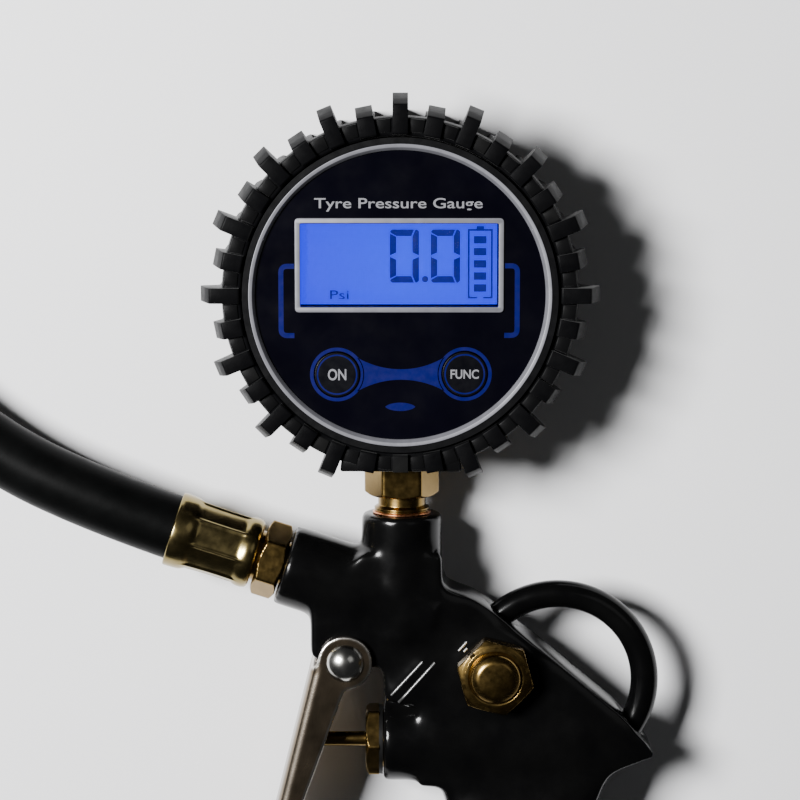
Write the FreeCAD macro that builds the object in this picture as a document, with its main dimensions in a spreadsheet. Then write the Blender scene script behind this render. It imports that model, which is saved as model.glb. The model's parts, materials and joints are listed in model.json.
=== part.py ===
import FreeCAD, Part
import Sketcher
import math
import os

# Digital tyre pressure gauge in a rubber boot, screwed on a cast inflator gun with a
# squeeze lever, a side plug, a hang loop and a short hose that ends in a clip-on chuck.
#
# Frame, in millimetres: the tool lies on its back. +Z is the way the gauge's face looks,
# +Y runs from the air inlet to the gauge, and z = 0 is the surface that it lies on.
# Gun and gauge pieces are drawn from the gauge's own axis, which stands at gauge_x, gauge_y;
# gun pieces count their heights from the gun's middle plane, at mid_height.

Vector = FreeCAD.Vector
Rotation = FreeCAD.Rotation

DIMENSIONS = (
    # Placing
    ("gauge_x", -3.1), ("gauge_y", 77.0), ("mid_height", 14.0),
    ("slip", 0.05), ("wide_slip", 0.1),
    # Rubber boot
    ("boot_radius", 37.2), ("boot_bore", 33.0), ("boot_floor", 2.5), ("boot_wall_top", 29.8),
    ("boot_height", 31.0), ("boot_edge", 1.0), ("boot_flat_y", -37.0), ("boot_flat_half", 12.9),
    ("window_half", 26.5), ("window_low", -15.5), ("window_high", 17.5), ("window_corner", 3.0),
    ("tooth_count", 16), ("long_tooth_face", 39.6), ("long_tooth_crown", 42.0),
    ("long_tooth_width", 3.25), ("short_tooth_face", 37.6), ("short_tooth_crown", 39.8),
    ("short_tooth_width", 3.6), ("tooth_depth", 6.7), ("tooth_undercut", 1.6),
    ("tooth_rib", 37.8), ("port_hole", 5.3),
    # Gauge case
    ("case_radius", 32.8), ("case_floor", 2.8), ("case_bore", 30.0), ("rim_bore", 31.6),
    ("ledge_height", 27.2), ("cell_half", 24.0), ("cell_low", -7.9), ("cell_high", 14.9),
    ("cell_wall", 1.2), ("cell_depth", 14.2), ("boss_radius", 2.75), ("pilot_radius", 1.05),
    ("boss_x_low", 20.0), ("boss_y_low", -19.0), ("boss_x_high", 17.0), ("boss_y_high", 21.5),
    # Battery cover, its screw, cells and contacts
    ("cover_half", 25.8), ("cover_low", -14.6), ("cover_high", 16.3), ("cover_thick", 1.8),
    ("cover_corner", 2.5), ("cover_screw_y", -12.0), ("screw_head", 2.2), ("screw_shank", 1.0),
    ("cover_boss", 2.6), ("cover_boss_height", 2.9), ("cover_screw_length", 3.6),
    ("battery_radius", 5.25), ("battery_length", 43.4), ("battery_nub", 1.9),
    ("battery_nub_length", 1.1), ("battery_height", 10.8), ("battery_low_y", -2.2),
    ("battery_high_y", 9.2), ("contact_thick", 0.4), ("contact_half_width", 4.0),
    ("spring_outer", 3.2), ("spring_inner", 2.5),
    # Board, keys, display
    ("board_height", 20.5), ("board_thick", 1.6), ("board_radius", 29.4),
    ("board_screw_head", 2.0), ("board_screw_head_height", 1.2), ("board_screw_length", 6.0),
    ("switch_half", 3.0), ("switch_height", 2.4), ("plunger_radius", 1.6),
    ("plunger_height", 1.0), ("light_thick", 2.5), ("glass_thick", 2.8),
    ("display_left", -20.75), ("display_right", 20.4), ("display_low", -2.4),
    ("display_high", 15.0), ("display_margin", 0.9), ("frame_width", 1.2),
    ("frame_height", 0.4), ("frame_corner", 1.0), ("lens_gap", 0.08), ("lens_low", 28.3),
    ("lens_thick", 1.2),
    # Front panel, keys, bezel and gasket
    ("panel_height", 28.0), ("panel_thick", 1.6), ("panel_radius", 31.4),
    ("key_on_x", -13.15), ("key_on_y", -16.5), ("key_func_x", 13.4), ("key_func_y", -16.4),
    ("key_radius", 4.65), ("key_hole", 4.8), ("key_flange", 5.4), ("key_top", 29.9),
    ("key_flange_low", 27.0), ("key_flange_high", 27.8), ("key_stem", 1.5), ("key_stem_low", 26.2),
    ("bezel_outer", 31.5), ("bezel_inner", 30.15), ("bezel_crest", 30.9), ("bezel_top", 31.0),
    ("bezel_lip", 0.3), ("gasket_inner", 30.1),
    # Pressure sensor, port fitting, its nut and washers, all on the port's axis
    ("sensor_radius", 5.5), ("sensor_far", 13.0), ("sensor_near", 25.2), ("seal_end", 26.0),
    ("sensor_seal_outer", 4.5), ("sensor_seal_inner", 2.0), ("nut_start", 26.5),
    ("nut_thick", 2.5), ("nut_flats", 12.0), ("port_shank", 4.95), ("port_hex_start", 37.2),
    ("port_hex_end", 44.47), ("port_hex_flats", 14.0), ("port_neck", 5.1),
    ("port_neck_end", 46.87), ("port_flange", 5.9), ("port_flange_end", 47.9),
    ("port_thread", 4.8), ("port_end", 58.0), ("port_bore", 1.6), ("washer_outer", 6.3),
    ("washer_inner", 5.0), ("post_top", 48.4),
    # Gun casting
    ("casting_half", 7.5), ("post_x", 0.33), ("post_radius", 8.65), ("post_root", 75.0),
    ("hose_end_x", -24.92), ("hose_end_y", -59.7), ("hose_slope", 18.0),
    ("hose_boss_radius", 8.75), ("hose_boss_length", 34.0), ("valve_y", -98.4),
    ("valve_face_x", -3.77), ("valve_boss_radius", 8.95), ("valve_boss_end", 40.0),
    ("plug_x", 20.25), ("plug_y", -82.1), ("plug_boss_radius", 8.4), ("plug_boss_height", 8.0),
    ("inlet_x", 27.5), ("inlet_y", 167.0), ("inlet_boss_radius", 10.6),
    ("inlet_boss_length", 9.0), ("post_bore", 4.9), ("post_bore_depth", 10.5),
    ("hose_bore", 4.9), ("hose_bore_depth", 12.0), ("gallery_radius", 2.0),
    ("gallery_x", 8.5), ("plug_bore", 4.5), ("plug_bore_floor", 0.5), ("chamber_radius", 5.6),
    ("chamber_end", 34.0), ("bush_bore", 6.3), ("bush_bore_end", 4.2), ("inlet_passage", 4.5),
    ("inlet_bore", 6.5), ("inlet_bore_depth", 12.5), ("pivot_bore", 2.0),
    ("rib_width", 1.3), ("rib_height", 0.6),
    # Hang loop
    ("loop_x", 33.98), ("loop_y", -85.17), ("loop_radius", 18.9), ("loop_bar", 2.95),
    ("loop_start", -44.0), ("loop_sweep", 182.0),
    # Side plug
    ("plug_flats", 14.7), ("plug_washer_outer", 7.0), ("plug_washer_thick", 0.5),
    ("plug_hex_thick", 4.0), ("plug_dome", 5.3), ("plug_dome_height", 2.4),
    ("plug_shank", 4.45), ("plug_shank_low", 1.5), ("plug_tilt", 45.0),
    # Lever and its rivet
    ("pivot_x", -11.8), ("pivot_y", -79.58), ("lever_tilt", -13.96),
    ("cheek_inner", 7.7), ("cheek_outer", 9.2), ("rivet_radius", 1.95), ("rivet_head", 4.05),
    ("rivet_head_height", 2.2), ("rivet_gap", 0.1),
    # Valve, on its own axis; places are measured along the gun's x
    ("bush_hex_start", -7.46), ("bush_hex_end", -4.57), ("bush_flats", 14.0),
    ("bush_thread", 6.25), ("bush_end", 4.0), ("pin_radius", 1.6), ("groove_radius", 2.9),
    ("groove_start", -1.5), ("groove_end", 0.3), ("pin_start", -21.1), ("pin_end", 17.0),
    ("seat_start", 11.5), ("seat_end", 14.5), ("seat_bore", 3.0), ("poppet_start", 15.7),
    ("poppet_end", 20.0), ("poppet_radius", 4.6), ("poppet_gap", 0.1),
    ("valve_spring_outer", 3.8), ("valve_spring_inner", 3.0), ("bush_washer_outer", 7.6),
    # Air inlet plug, along its own axis from the casting's end
    ("inlet_thread", 6.45), ("inlet_hex_flats", 17.0), ("inlet_hex_thick", 6.0),
    ("inlet_neck", 4.5), ("inlet_neck_end", 9.0), ("inlet_collar", 5.95),
    ("inlet_collar_end", 15.5), ("inlet_groove", 4.0), ("inlet_groove_end", 19.5),
    ("inlet_nose", 4.9), ("inlet_nose_end", 23.0), ("inlet_tip", 3.9), ("inlet_end", 29.0),
    ("inlet_through", 2.8), ("filter_radius", 4.4), ("filter_length", 5.0),
    # Hose, its fittings and crimped ferrules, along the hose's own axis
    ("hose_radius", 7.0), ("hose_bore_radius", 4.0), ("hose_thread", 4.8),
    ("hose_hex_start", 0.3), ("hose_hex_end", 5.7), ("hose_hex_flats", 14.6),
    ("hose_collar", 5.5), ("hose_collar_end", 6.4), ("barb_radius", 3.95), ("barb_end", 24.0),
    ("hose_through", 2.3), ("ferrule_bore", 7.05), ("ferrule_end", 25.2),
    ("ferrule_back_wall", 1.2), ("ferrule_bulge", 7.7), ("ferrule_crimp", 7.45),
    ("ferrule_bell", 8.1), ("ferrule_back", 6.6), ("ferrule_land", 4.0), ("hose_start", 8.0),
    # Chuck, along its own axis from the end of the hose
    ("chuck_ferrule_mouth", -17.0), ("chuck_ferrule_back", 1.2), ("chuck_barb_start", -15.5),
    ("chuck_hex_end", 7.2), ("chuck_hex_flats", 13.0), ("chuck_neck", 6.5),
    ("chuck_head", 7.5), ("chuck_head_start", 30.0), ("chuck_end", 43.0),
    ("socket_radius", 4.0), ("socket_floor", 33.5), ("seal_groove", 4.6),
    ("seal_start", 31.0), ("seal_outer", 4.55), ("seal_inner", 2.2), ("chuck_through", 2.5),
    ("depressor_start", 25.0), ("depressor_thick", 1.5), ("depressor_disc", 2.45),
    ("depressor_pin", 1.1), ("depressor_end", 33.4), ("slot_start", 38.0), ("slot_end", 41.2),
    ("slot_half", 2.6), ("ears_start", 20.0), ("ears_end", 29.0), ("ears_top", 10.3),
    ("ears_half", 3.1), ("clip_pivot_s", 24.5), ("clip_pivot_up", 9.0), ("clip_pin", 1.0),
    ("clip_bore", 1.06), ("clip_pin_half", 4.9), ("clip_half", 4.5), ("clip_inner", 3.3),
    ("clip_thick", 1.2), ("clip_roof", 11.2), ("clip_jaw_half", 2.3), ("clip_jaw_low", 4.3),
    ("clip_jaw_start", 38.5), ("clip_thumb_up", 15.0), ("clip_thumb_s", -1.0),
    ("seat_flat", 5.8), ("clip_spring_s", 12.5), ("clip_spring_outer", 2.3),
    ("clip_spring_inner", 1.7), ("clip_spring_top", 11.9),
)

# Side view of the casting: x, y and corner rounding, from the gauge's axis.
CASTING_OUTLINE = (
    (-8.32, -56.3, 0), (8.98, -56.3, 0), (8.98, -63.9, 2.0), (15.0, -64.8, 2.5),
    (20.9, -68.6, 2.0), (48.6, -91.6, 2.0), (56.6, -101.0, 1.6), (45.0, -105.3, 4.0),
    (41.5, -116.0, 3.0), (10.5, -116.0, 0), (9.9, -107.4, 2.5), (4.0, -107.4, 0),
    (4.0, -89.5, 0), (-3.5, -88.6, 1.2), (-3.4, -80.6, 2.4), (-6.9, -80.8, 0.8),
    (-7.3, -84.5, 2.9), (-16.8, -84.5, 4.2), (-16.8, -80.0, 0.2), (-19.2, -78.3, 0.4),
    (-19.2, -66.0, 0),
)
# Sections down the grip: distance below the gauge's axis, front, rear, half thickness, corner.
GRIP_SECTIONS = (
    (106.0, 9.9, 43.6, 7.4, 3.0),
    (116.0, 10.2, 41.0, 10.4, 6.0),
    (130.0, 12.0, 39.4, 13.4, 9.0),
    (146.0, 13.6, 40.0, 13.8, 10.0),
    (160.0, 15.2, 40.4, 12.4, 9.0),
)
# Lever seen from the side, unrotated: x and y from the pivot, and rounding.
LEVER_OUTLINE = (
    (-6.8, -2.9, 0), (-6.8, -50.0, 60.0), (-3.6, -80.0, 10.0), (-9.0, -92.0, 0),
    (-7.8, -92.9, 0), (0.6, -80.0, 3.0), (-2.6, -43.0, 40.0), (1.31, -5.94, 2.0),
    (5.8, -3.35, 5.7), (5.8, 5.8, 5.7), (-5.8, 5.8, 5.7), (-5.8, -2.0, 0),
)
# Room inside the lever's channel, to the right of its web.
LEVER_ROOM = (
    (-9.0, 9.0, 0), (-9.0, -2.6, 0), (-5.3, -2.6, 0), (-5.3, -50.0, 58.5), (-2.1, -80.2, 8.5),
    (-7.9, -93.2, 0), (20.0, -93.2, 0), (20.0, 9.0, 0),
)
# Raised strokes on the casting's face: two ends each.
FACE_RIBS = (
    ((-2.0, -87.0), (5.4, -79.4)),
    ((0.4, -88.2), (8.0, -80.4)),
)
# The hose's route, from the gauge's axis; heights are above the surface it lies on.
HOSE_POINTS = (
    (-60.5, -48.14, 14.0), (-92.0, -33.5, 10.6), (-116.3, -8.3, 7.4), (-129.0, 26.5, 7.0),
    (-126.3, 64.4, 7.0), (-108.5, 98.0, 7.0), (-79.7, 121.3, 7.0), (-46.2, 131.5, 8.2),
    (-16.2, 130.4, 8.2),
)
ARC_SHARE = 0.45
HEX_CORNER = 2.0 / math.sqrt(3.0)
HALF_TURN = 180.0
FULL_TURN = 360.0


class Size:
    """A length or place that knows its value and the sheet expression behind it."""

    def __init__(self, value, text=None):
        self.value = float(value)
        self.text = text

    def join(self, other, sign, value):
        other = size(other)
        if self.text is None and other.text is None:
            return Size(value)
        return Size(value, "(%s %s %s)" % (written(self), sign, written(other)))

    def __add__(self, other):
        return self.join(other, "+", self.value + size(other).value)

    def __radd__(self, other):
        return size(other) + self

    def __sub__(self, other):
        return self.join(other, "-", self.value - size(other).value)

    def __rsub__(self, other):
        return size(other) - self

    def __mul__(self, other):
        return self.join(other, "*", self.value * size(other).value)

    def __rmul__(self, other):
        return size(other) * self

    def __neg__(self):
        return size(0) - self


def size(number):
    return number if isinstance(number, Size) else Size(number)


def written(number):
    return number.text if number.text is not None else "%.6f" % number.value


class Sheet:
    """The spreadsheet of driving dimensions, each read as a Size by its alias."""

    def __init__(self, document, rows):
        cells = document.addObject("Spreadsheet::Sheet", "Dims")
        for row, (alias, value) in enumerate(rows, start=1):
            cells.set("A%d" % row, alias)
            cells.set("B%d" % row, str(value))
            cells.setAlias("B%d" % row, alias)
            setattr(self, alias, Size(value, "Dims.%s" % alias))


doc = FreeCAD.newDocument("tyre_pressure_gauge")
dim = Sheet(doc, DIMENSIONS)
doc.recompute()
nodes = {}


# ---------------------------------------------------------------- sketches and features

def bind(thing, prop, number):
    """Tie one property to the sheet, or set it when it has no cell behind it."""
    number = size(number)
    if number.text is not None:
        thing.setExpression(prop, number.text)
    elif prop.startswith("Placement.") or prop.startswith("AttachmentOffset."):
        thing.setExpression(prop, "%.6f" % number.value)
    else:
        setattr(thing, prop, number.value)


def new_body(name):
    body = doc.addObject("PartDesign::Body", name)
    body.Label = name
    nodes[name] = body
    return body


def place(thing, x=0, y=0, z=0, rotation=None):
    thing.Placement = FreeCAD.Placement(Vector(0, 0, 0), rotation or Rotation())
    bind(thing, "Placement.Base.x", x)
    bind(thing, "Placement.Base.y", y)
    bind(thing, "Placement.Base.z", z)


def place_on_gauge(thing, x=0, y=0, z=0, rotation=None):
    place(thing, dim.gauge_x + x, dim.gauge_y + y, z, rotation)


def place_on_gun(thing, x=0, y=0, z=0, rotation=None):
    place(thing, dim.gauge_x + x, dim.gauge_y + y, dim.mid_height + z, rotation)


def origin_plane(body, role):
    return [item for item in body.Origin.OriginFeatures if item.Role == role][0]


def new_sketch(body, role="XY_Plane", height=0):
    sketch = body.newObject("Sketcher::SketchObject", body.Name + "_sketch")
    sketch.AttachmentSupport = [(origin_plane(body, role), "")]
    sketch.MapMode = "FlatFace"
    bind(sketch, "AttachmentOffset.Base.z", height)
    return sketch


def pin_point(sketch, item, end, x, y):
    """Hold one point of a sketch at x, y from the sketch's origin."""
    for kind, number in (("DistanceX", x), ("DistanceY", y)):
        index = sketch.addConstraint(Sketcher.Constraint(kind, -1, 1, item, end, number.value))
        if number.text is not None:
            sketch.setExpression("Constraints[%d]" % index, number.text)


def hold_radius(sketch, item, radius):
    index = sketch.addConstraint(Sketcher.Constraint("Radius", item, radius.value))
    if radius.text is not None:
        sketch.setExpression("Constraints[%d]" % index, radius.text)


def corner_arc(before, corner, after, radius):
    """Tangent points, centre and turning side of a rounded corner."""
    back = (before - corner).normalize()
    ahead = (after - corner).normalize()
    half = math.acos(max(-1.0, min(1.0, back.dot(ahead)))) / 2.0
    reach = radius / math.tan(half)
    middle = (back + ahead).normalize()
    centre = corner + middle * (radius / math.sin(half))
    turns_left = back.x * ahead.y - back.y * ahead.x < 0
    return corner + back * reach, corner + ahead * reach, centre, turns_left


def add_corner(sketch, line_in, line_out, ends, centre, turns_left, x, y, radius):
    """One tangent arc between two lines, with the sharp corner kept as a guide point."""
    angles = [math.atan2(end.y - centre.y, end.x - centre.x) for end in ends]
    if not turns_left:
        angles.reverse()
    while angles[1] < angles[0]:
        angles[1] += 2.0 * math.pi
    circle = Part.Circle(centre, Vector(0, 0, 1), radius.value)
    arc = sketch.addGeometry(Part.ArcOfCircle(circle, angles[0], angles[1]), False)
    first, last = (1, 2) if turns_left else (2, 1)
    sketch.addConstraint(Sketcher.Constraint("Tangent", line_in, 2, arc, first))
    sketch.addConstraint(Sketcher.Constraint("Tangent", arc, last, line_out, 1))
    hold_radius(sketch, arc, radius)
    guide = sketch.addGeometry(Part.Point(Vector(x.value, y.value, 0)), True)
    sketch.addConstraint(Sketcher.Constraint("PointOnObject", guide, 1, line_in))
    sketch.addConstraint(Sketcher.Constraint("PointOnObject", guide, 1, line_out))
    pin_point(sketch, guide, 1, x, y)


def outline(sketch, corners):
    """A closed, fully held outline through (x, y) or (x, y, rounding) corners."""
    held = [tuple(size(part) for part in corner) for corner in corners]
    held = [corner if len(corner) == 3 else corner + (Size(0),) for corner in held]
    spots = [Vector(x.value, y.value, 0) for x, y, rounding in held]
    count = len(held)
    ends, arcs = [], []
    for index, (x, y, rounding) in enumerate(held):
        spot, before, after = spots[index], spots[index - 1], spots[(index + 1) % count]
        if rounding.value > 0:
            start, stop, centre, turns_left = corner_arc(before, spot, after, rounding.value)
            ends.append((start, stop))
            arcs.append((centre, turns_left))
        else:
            ends.append((spot, spot))
            arcs.append(None)
    lines = [
        sketch.addGeometry(Part.LineSegment(ends[i][1], ends[(i + 1) % count][0]), False)
        for i in range(count)
    ]
    for index, (x, y, rounding) in enumerate(held):
        line_in, line_out = lines[index - 1], lines[index]
        if arcs[index] is None:
            sketch.addConstraint(Sketcher.Constraint("Coincident", line_in, 2, line_out, 1))
            pin_point(sketch, line_out, 1, x, y)
        else:
            centre, turns_left = arcs[index]
            add_corner(sketch, line_in, line_out, ends[index], centre, turns_left,
                       x, y, rounding)


def circle(sketch, x, y, radius):
    x, y, radius = size(x), size(y), size(radius)
    shape = Part.Circle(Vector(x.value, y.value, 0), Vector(0, 0, 1), radius.value)
    item = sketch.addGeometry(shape, False)
    pin_point(sketch, item, 3, x, y)
    hold_radius(sketch, item, radius)


def rectangle(left, right, low, high, rounding=0):
    return [(left, low, rounding), (right, low, rounding),
            (right, high, rounding), (left, high, rounding)]


def hexagon(flats, turn=0.0):
    """Corners of a hexagon of a given width across flats."""
    corners = []
    for index in range(6):
        angle = math.radians(turn + 60.0 * index)
        half = size(flats) * (HEX_CORNER / 2.0)
        corners.append((half * math.cos(angle), half * math.sin(angle)))
    return corners


def pad(body, sketch, length, midplane=False, reverse=False):
    feature = body.newObject("PartDesign::Pad", body.Name + "_pad")
    feature.Profile = sketch
    feature.Midplane = midplane
    feature.Reversed = reverse
    bind(feature, "Length", length)
    doc.recompute()
    return feature


def cut_away(body, feature, set_up):
    """Finish a cutting feature and make sure that it really removed something."""
    before = body.Shape.Volume
    set_up(feature)
    doc.recompute()
    if not body.Shape.Volume < before:
        raise RuntimeError("%s removes nothing from %s" % (feature.Name, body.Label))
    return feature


def pocket(body, sketch, length, midplane=False, reverse=False):
    feature = body.newObject("PartDesign::Pocket", body.Name + "_pocket")

    def set_up(item):
        item.Profile = sketch
        item.Midplane = midplane
        item.Reversed = reverse
        bind(item, "Length", length)

    return cut_away(body, feature, set_up)


def turn(body, corners, height=0):
    """Turn an outline of (radius, height) corners about the body's own Z axis."""
    sketch = new_sketch(body, "XZ_Plane")
    outline(sketch, [(corner[0], corner[1] + height) + tuple(corner[2:]) for corner in corners])
    feature = body.newObject("PartDesign::Revolution", body.Name + "_turned")
    feature.Profile = sketch
    feature.ReferenceAxis = (sketch, ["V_Axis"])
    feature.Angle = FULL_TURN
    doc.recompute()
    return feature


def bore(body, corners):
    """Cut an outline of (radius, height) corners about the body's own Z axis."""
    sketch = new_sketch(body, "XZ_Plane")
    outline(sketch, corners)
    feature = body.newObject("PartDesign::Groove", body.Name + "_bored")

    def set_up(item):
        item.Profile = sketch
        item.ReferenceAxis = (sketch, ["V_Axis"])
        item.Angle = FULL_TURN

    return cut_away(body, feature, set_up)


def rod_profile(radius, low, high):
    return [(0, low), (radius, low), (radius, high), (0, high)]


def block(body, left, right, low, high, bottom, top, rounding=0):
    sketch = new_sketch(body, "XY_Plane", bottom)
    outline(sketch, rectangle(left, right, low, high, rounding))
    return pad(body, sketch, size(top) - bottom)


def hollow(body, left, right, low, high, bottom, top, rounding=0):
    sketch = new_sketch(body, "XY_Plane", bottom)
    outline(sketch, rectangle(left, right, low, high, rounding))
    return pocket(body, sketch, size(top) - bottom, reverse=True)


def round_pad(body, x, y, radius, bottom, top):
    sketch = new_sketch(body, "XY_Plane", bottom)
    circle(sketch, x, y, radius)
    return pad(body, sketch, size(top) - bottom)


def round_hole(body, x, y, radius, bottom, top):
    sketch = new_sketch(body, "XY_Plane", bottom)
    circle(sketch, x, y, radius)
    return pocket(body, sketch, size(top) - bottom, reverse=True)


def hex_pad(body, flats, bottom, top, turned=0.0):
    sketch = new_sketch(body, "XY_Plane", bottom)
    outline(sketch, hexagon(flats, turned))
    return pad(body, sketch, size(top) - bottom)


def ease_hex(body, flats, face, inward):
    """Turn the corners of a hexagon's face down to a cone, as on a machined hex."""
    flats, face = size(flats), size(face)
    edge = flats * 0.49
    outside = flats * 0.6
    fall = (outside - edge) * (inward * 0.5)
    bore(body, [(edge, face), (outside, face), (outside, face + fall)])


def cylinder(name, radius, low, high):
    item = doc.addObject("Part::Cylinder", name)
    bind(item, "Radius", radius)
    bind(item, "Height", size(high) - low)
    bind(item, "Placement.Base.z", low)
    return item


def joined(name, members):
    item = doc.addObject("Part::MultiFuse", name)
    item.Shapes = members
    return item


def ring(name, outer, inner, low, high, is_node=True):
    """A plain ring about its own Z axis."""
    item = doc.addObject("Part::Cut", name)
    item.Base = cylinder(name + "_outside", outer, low, high)
    item.Tool = cylinder(name + "_inside", inner, low, high)
    if is_node:
        item.Label = name
        nodes[name] = item
    return item


def group(name, members):
    """Several like pieces in one node, each its own solid."""
    item = doc.addObject("Part::Compound", name)
    item.Links = members
    item.Label = name
    nodes[name] = item
    return item


# ---------------------------------------------------------------- gauge

def tooth(body, face, crown, width, first_angle):
    """One tread tooth at the front, with a low rib behind it, repeated round the boot."""
    top = dim.boot_height
    low = top - dim.tooth_depth
    root, front_root = dim.boot_bore + dim.boot_edge, dim.boot_bore + dim.wide_slip * 2
    sketch = new_sketch(body, "XZ_Plane")
    outline(sketch, [
        (root, 0), (dim.tooth_rib, 0), (dim.tooth_rib, low - dim.tooth_undercut), (crown, low),
        (face, top), (front_root, top), (front_root, top * 0.5), (root, top * 0.5),
    ])
    sketch.AttachmentOffset = FreeCAD.Placement(
        Vector(0, 0, 0), Rotation(Vector(0, 1, 0), first_angle))
    feature = pad(body, sketch, width, midplane=True)
    pattern = body.newObject("PartDesign::PolarPattern", body.Name + "_teeth")
    pattern.Originals = [feature]
    pattern.Axis = (origin_plane(body, "Z_Axis"), [""])
    pattern.Angle = FULL_TURN
    bind(pattern, "Occurrences", dim.tooth_count)
    body.Tip = pattern
    doc.recompute()


def gauge_boot():
    body = new_body("gauge_boot")
    edge, floor = dim.boot_edge, dim.boot_floor
    turn(body, [
        (0, 0), (dim.boot_radius - edge, 0), (dim.boot_radius, edge),
        (dim.boot_radius, dim.boot_wall_top - edge),
        (dim.boot_radius - edge, dim.boot_wall_top), (dim.boot_bore, dim.boot_wall_top),
        (dim.boot_bore, floor), (0, floor),
    ])
    half_pitch = HALF_TURN / dim.tooth_count.value
    tooth(body, dim.long_tooth_face, dim.long_tooth_crown, dim.long_tooth_width, 0.0)
    tooth(body, dim.short_tooth_face, dim.short_tooth_crown, dim.short_tooth_width, half_pitch)
    hollow(body, -dim.window_half, dim.window_half, dim.window_low, dim.window_high,
           0, floor, dim.window_corner)
    hollow(body, -dim.boot_flat_half, dim.boot_flat_half, -dim.long_tooth_crown - edge,
           dim.boot_flat_y, 0, dim.boot_height)
    sketch = new_sketch(body, "XZ_Plane", dim.boot_bore - edge * 2)
    circle(sketch, dim.post_x, dim.mid_height, dim.port_hole)
    pocket(body, sketch, dim.boot_radius - dim.boot_bore + edge * 4, reverse=True)
    place_on_gauge(body)


def gauge_case():
    body = new_body("gauge_case")
    low = dim.boot_floor
    floor = low + dim.case_floor
    turn(body, [
        (0, low), (dim.case_radius, low), (dim.case_radius, dim.boot_height),
        (dim.rim_bore, dim.boot_height), (dim.rim_bore, dim.ledge_height),
        (dim.case_bore, dim.ledge_height), (dim.case_bore, floor), (0, floor),
    ])
    wall, half = dim.cell_wall, dim.cell_half
    block(body, -half - wall, half + wall, dim.cell_low - wall, dim.cell_high + wall,
          low, low + dim.cell_depth + wall)
    hollow(body, -half, half, dim.cell_low, dim.cell_high, low, low + dim.cell_depth)
    for x, y in screw_places():
        round_pad(body, x, y, dim.boss_radius, low, dim.board_height)
    round_pad(body, 0, dim.cover_screw_y, dim.cover_boss, low, floor + dim.cover_boss_height)
    hollow(body, -dim.cover_half - dim.wide_slip, dim.cover_half + dim.wide_slip,
           dim.cover_low - dim.wide_slip, dim.cover_high + dim.wide_slip,
           low, low + dim.cover_thick, dim.cover_corner)
    for x, y in screw_places():
        round_hole(body, x, y, dim.pilot_radius,
                   dim.board_height - dim.board_screw_length, dim.board_height)
    round_hole(body, 0, dim.cover_screw_y, dim.pilot_radius,
               low, low + dim.cover_thick + dim.cover_screw_length)
    sketch = new_sketch(body, "XZ_Plane", dim.case_bore - dim.case_floor)
    circle(sketch, dim.post_x, dim.mid_height, dim.port_shank + dim.wide_slip)
    pocket(body, sketch, dim.case_floor * 3, reverse=True)
    place_on_gauge(body)


def screw_places():
    return [(-dim.boss_x_low, dim.boss_y_low), (dim.boss_x_low, dim.boss_y_low),
            (-dim.boss_x_high, dim.boss_y_high), (dim.boss_x_high, dim.boss_y_high)]


def battery_cover():
    body = new_body("battery_cover")
    low = dim.boot_floor
    block(body, -dim.cover_half, dim.cover_half, dim.cover_low, dim.cover_high,
          low, low + dim.cover_thick, dim.cover_corner)
    round_hole(body, 0, dim.cover_screw_y, dim.screw_shank + dim.wide_slip,
               low, low + dim.cover_thick)
    round_hole(body, 0, dim.cover_screw_y, dim.screw_head + dim.wide_slip,
               low, low + dim.cover_thick * 0.5)
    place_on_gauge(body)


def cover_screw():
    body = new_body("cover_screw")
    low = dim.boot_floor + dim.slip
    under_head = dim.boot_floor + dim.cover_thick * 0.5
    turn(body, [
        (0, low), (dim.screw_head, low), (dim.screw_head, under_head),
        (dim.screw_shank, under_head),
        (dim.screw_shank, low + dim.cover_thick + dim.cover_screw_length * 0.8),
        (0, low + dim.cover_thick + dim.cover_screw_length * 0.9),
    ])
    cut = dim.screw_shank * 0.3
    hollow(body, -dim.screw_head * 0.7, dim.screw_head * 0.7, -cut, cut,
           low, low + dim.screw_shank * 0.5)
    place_on_gauge(body, 0, dim.cover_screw_y)


def battery(name, y, side):
    """One AAA cell lying along X; side is +1 when its nub points to +X."""
    body = new_body(name)
    length, nub = dim.battery_length, dim.battery_nub
    turn(body, [
        (0, 0), (nub, 0), (nub, dim.battery_nub_length),
        (dim.battery_radius - nub * 0.5, dim.battery_nub_length),
        (dim.battery_radius, dim.battery_nub_length + nub * 0.3),
        (dim.battery_radius, dim.battery_nub_length + length), (0, dim.battery_nub_length + length),
    ])
    inner = dim.cell_half - dim.contact_thick
    place_on_gauge(body, inner * side, y, dim.battery_height,
                   Rotation(Vector(0, 0, 1), Vector(-side, 0, 0)))


def battery_springs():
    members = []
    gap = dim.cell_half * 2 - dim.contact_thick * 2 - dim.battery_length - dim.battery_nub_length
    for tag, y, side in (("low", dim.battery_low_y, -1), ("high", dim.battery_high_y, 1)):
        item = ring("battery_spring_" + tag, dim.spring_outer, dim.spring_inner, 0, gap,
                    is_node=False)
        place(item, (dim.cell_half - dim.contact_thick) * side, y, dim.battery_height,
              Rotation(Vector(0, 0, 1), Vector(-side, 0, 0)))
        members.append(item)
    place_on_gauge(group("battery_springs", members))


def contact_plate(tag, side, low_y, high_y):
    item = doc.addObject("Part::Box", "battery_contact_" + tag)
    bind(item, "Length", dim.contact_thick)
    bind(item, "Width", high_y - low_y)
    bind(item, "Height", dim.contact_half_width * 2)
    x = dim.cell_half - dim.contact_thick if side > 0 else -dim.cell_half
    place(item, x, low_y, dim.battery_height - dim.contact_half_width)
    return item


def battery_contacts():
    half, low, high = dim.contact_half_width, dim.battery_low_y, dim.battery_high_y
    members = [
        contact_plate("bridge", 1, low - half, high + half),
        contact_plate("minus", -1, low - half, low + half),
        contact_plate("plus", -1, high - half, high + half),
    ]
    place_on_gauge(group("battery_contacts", members))


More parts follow.
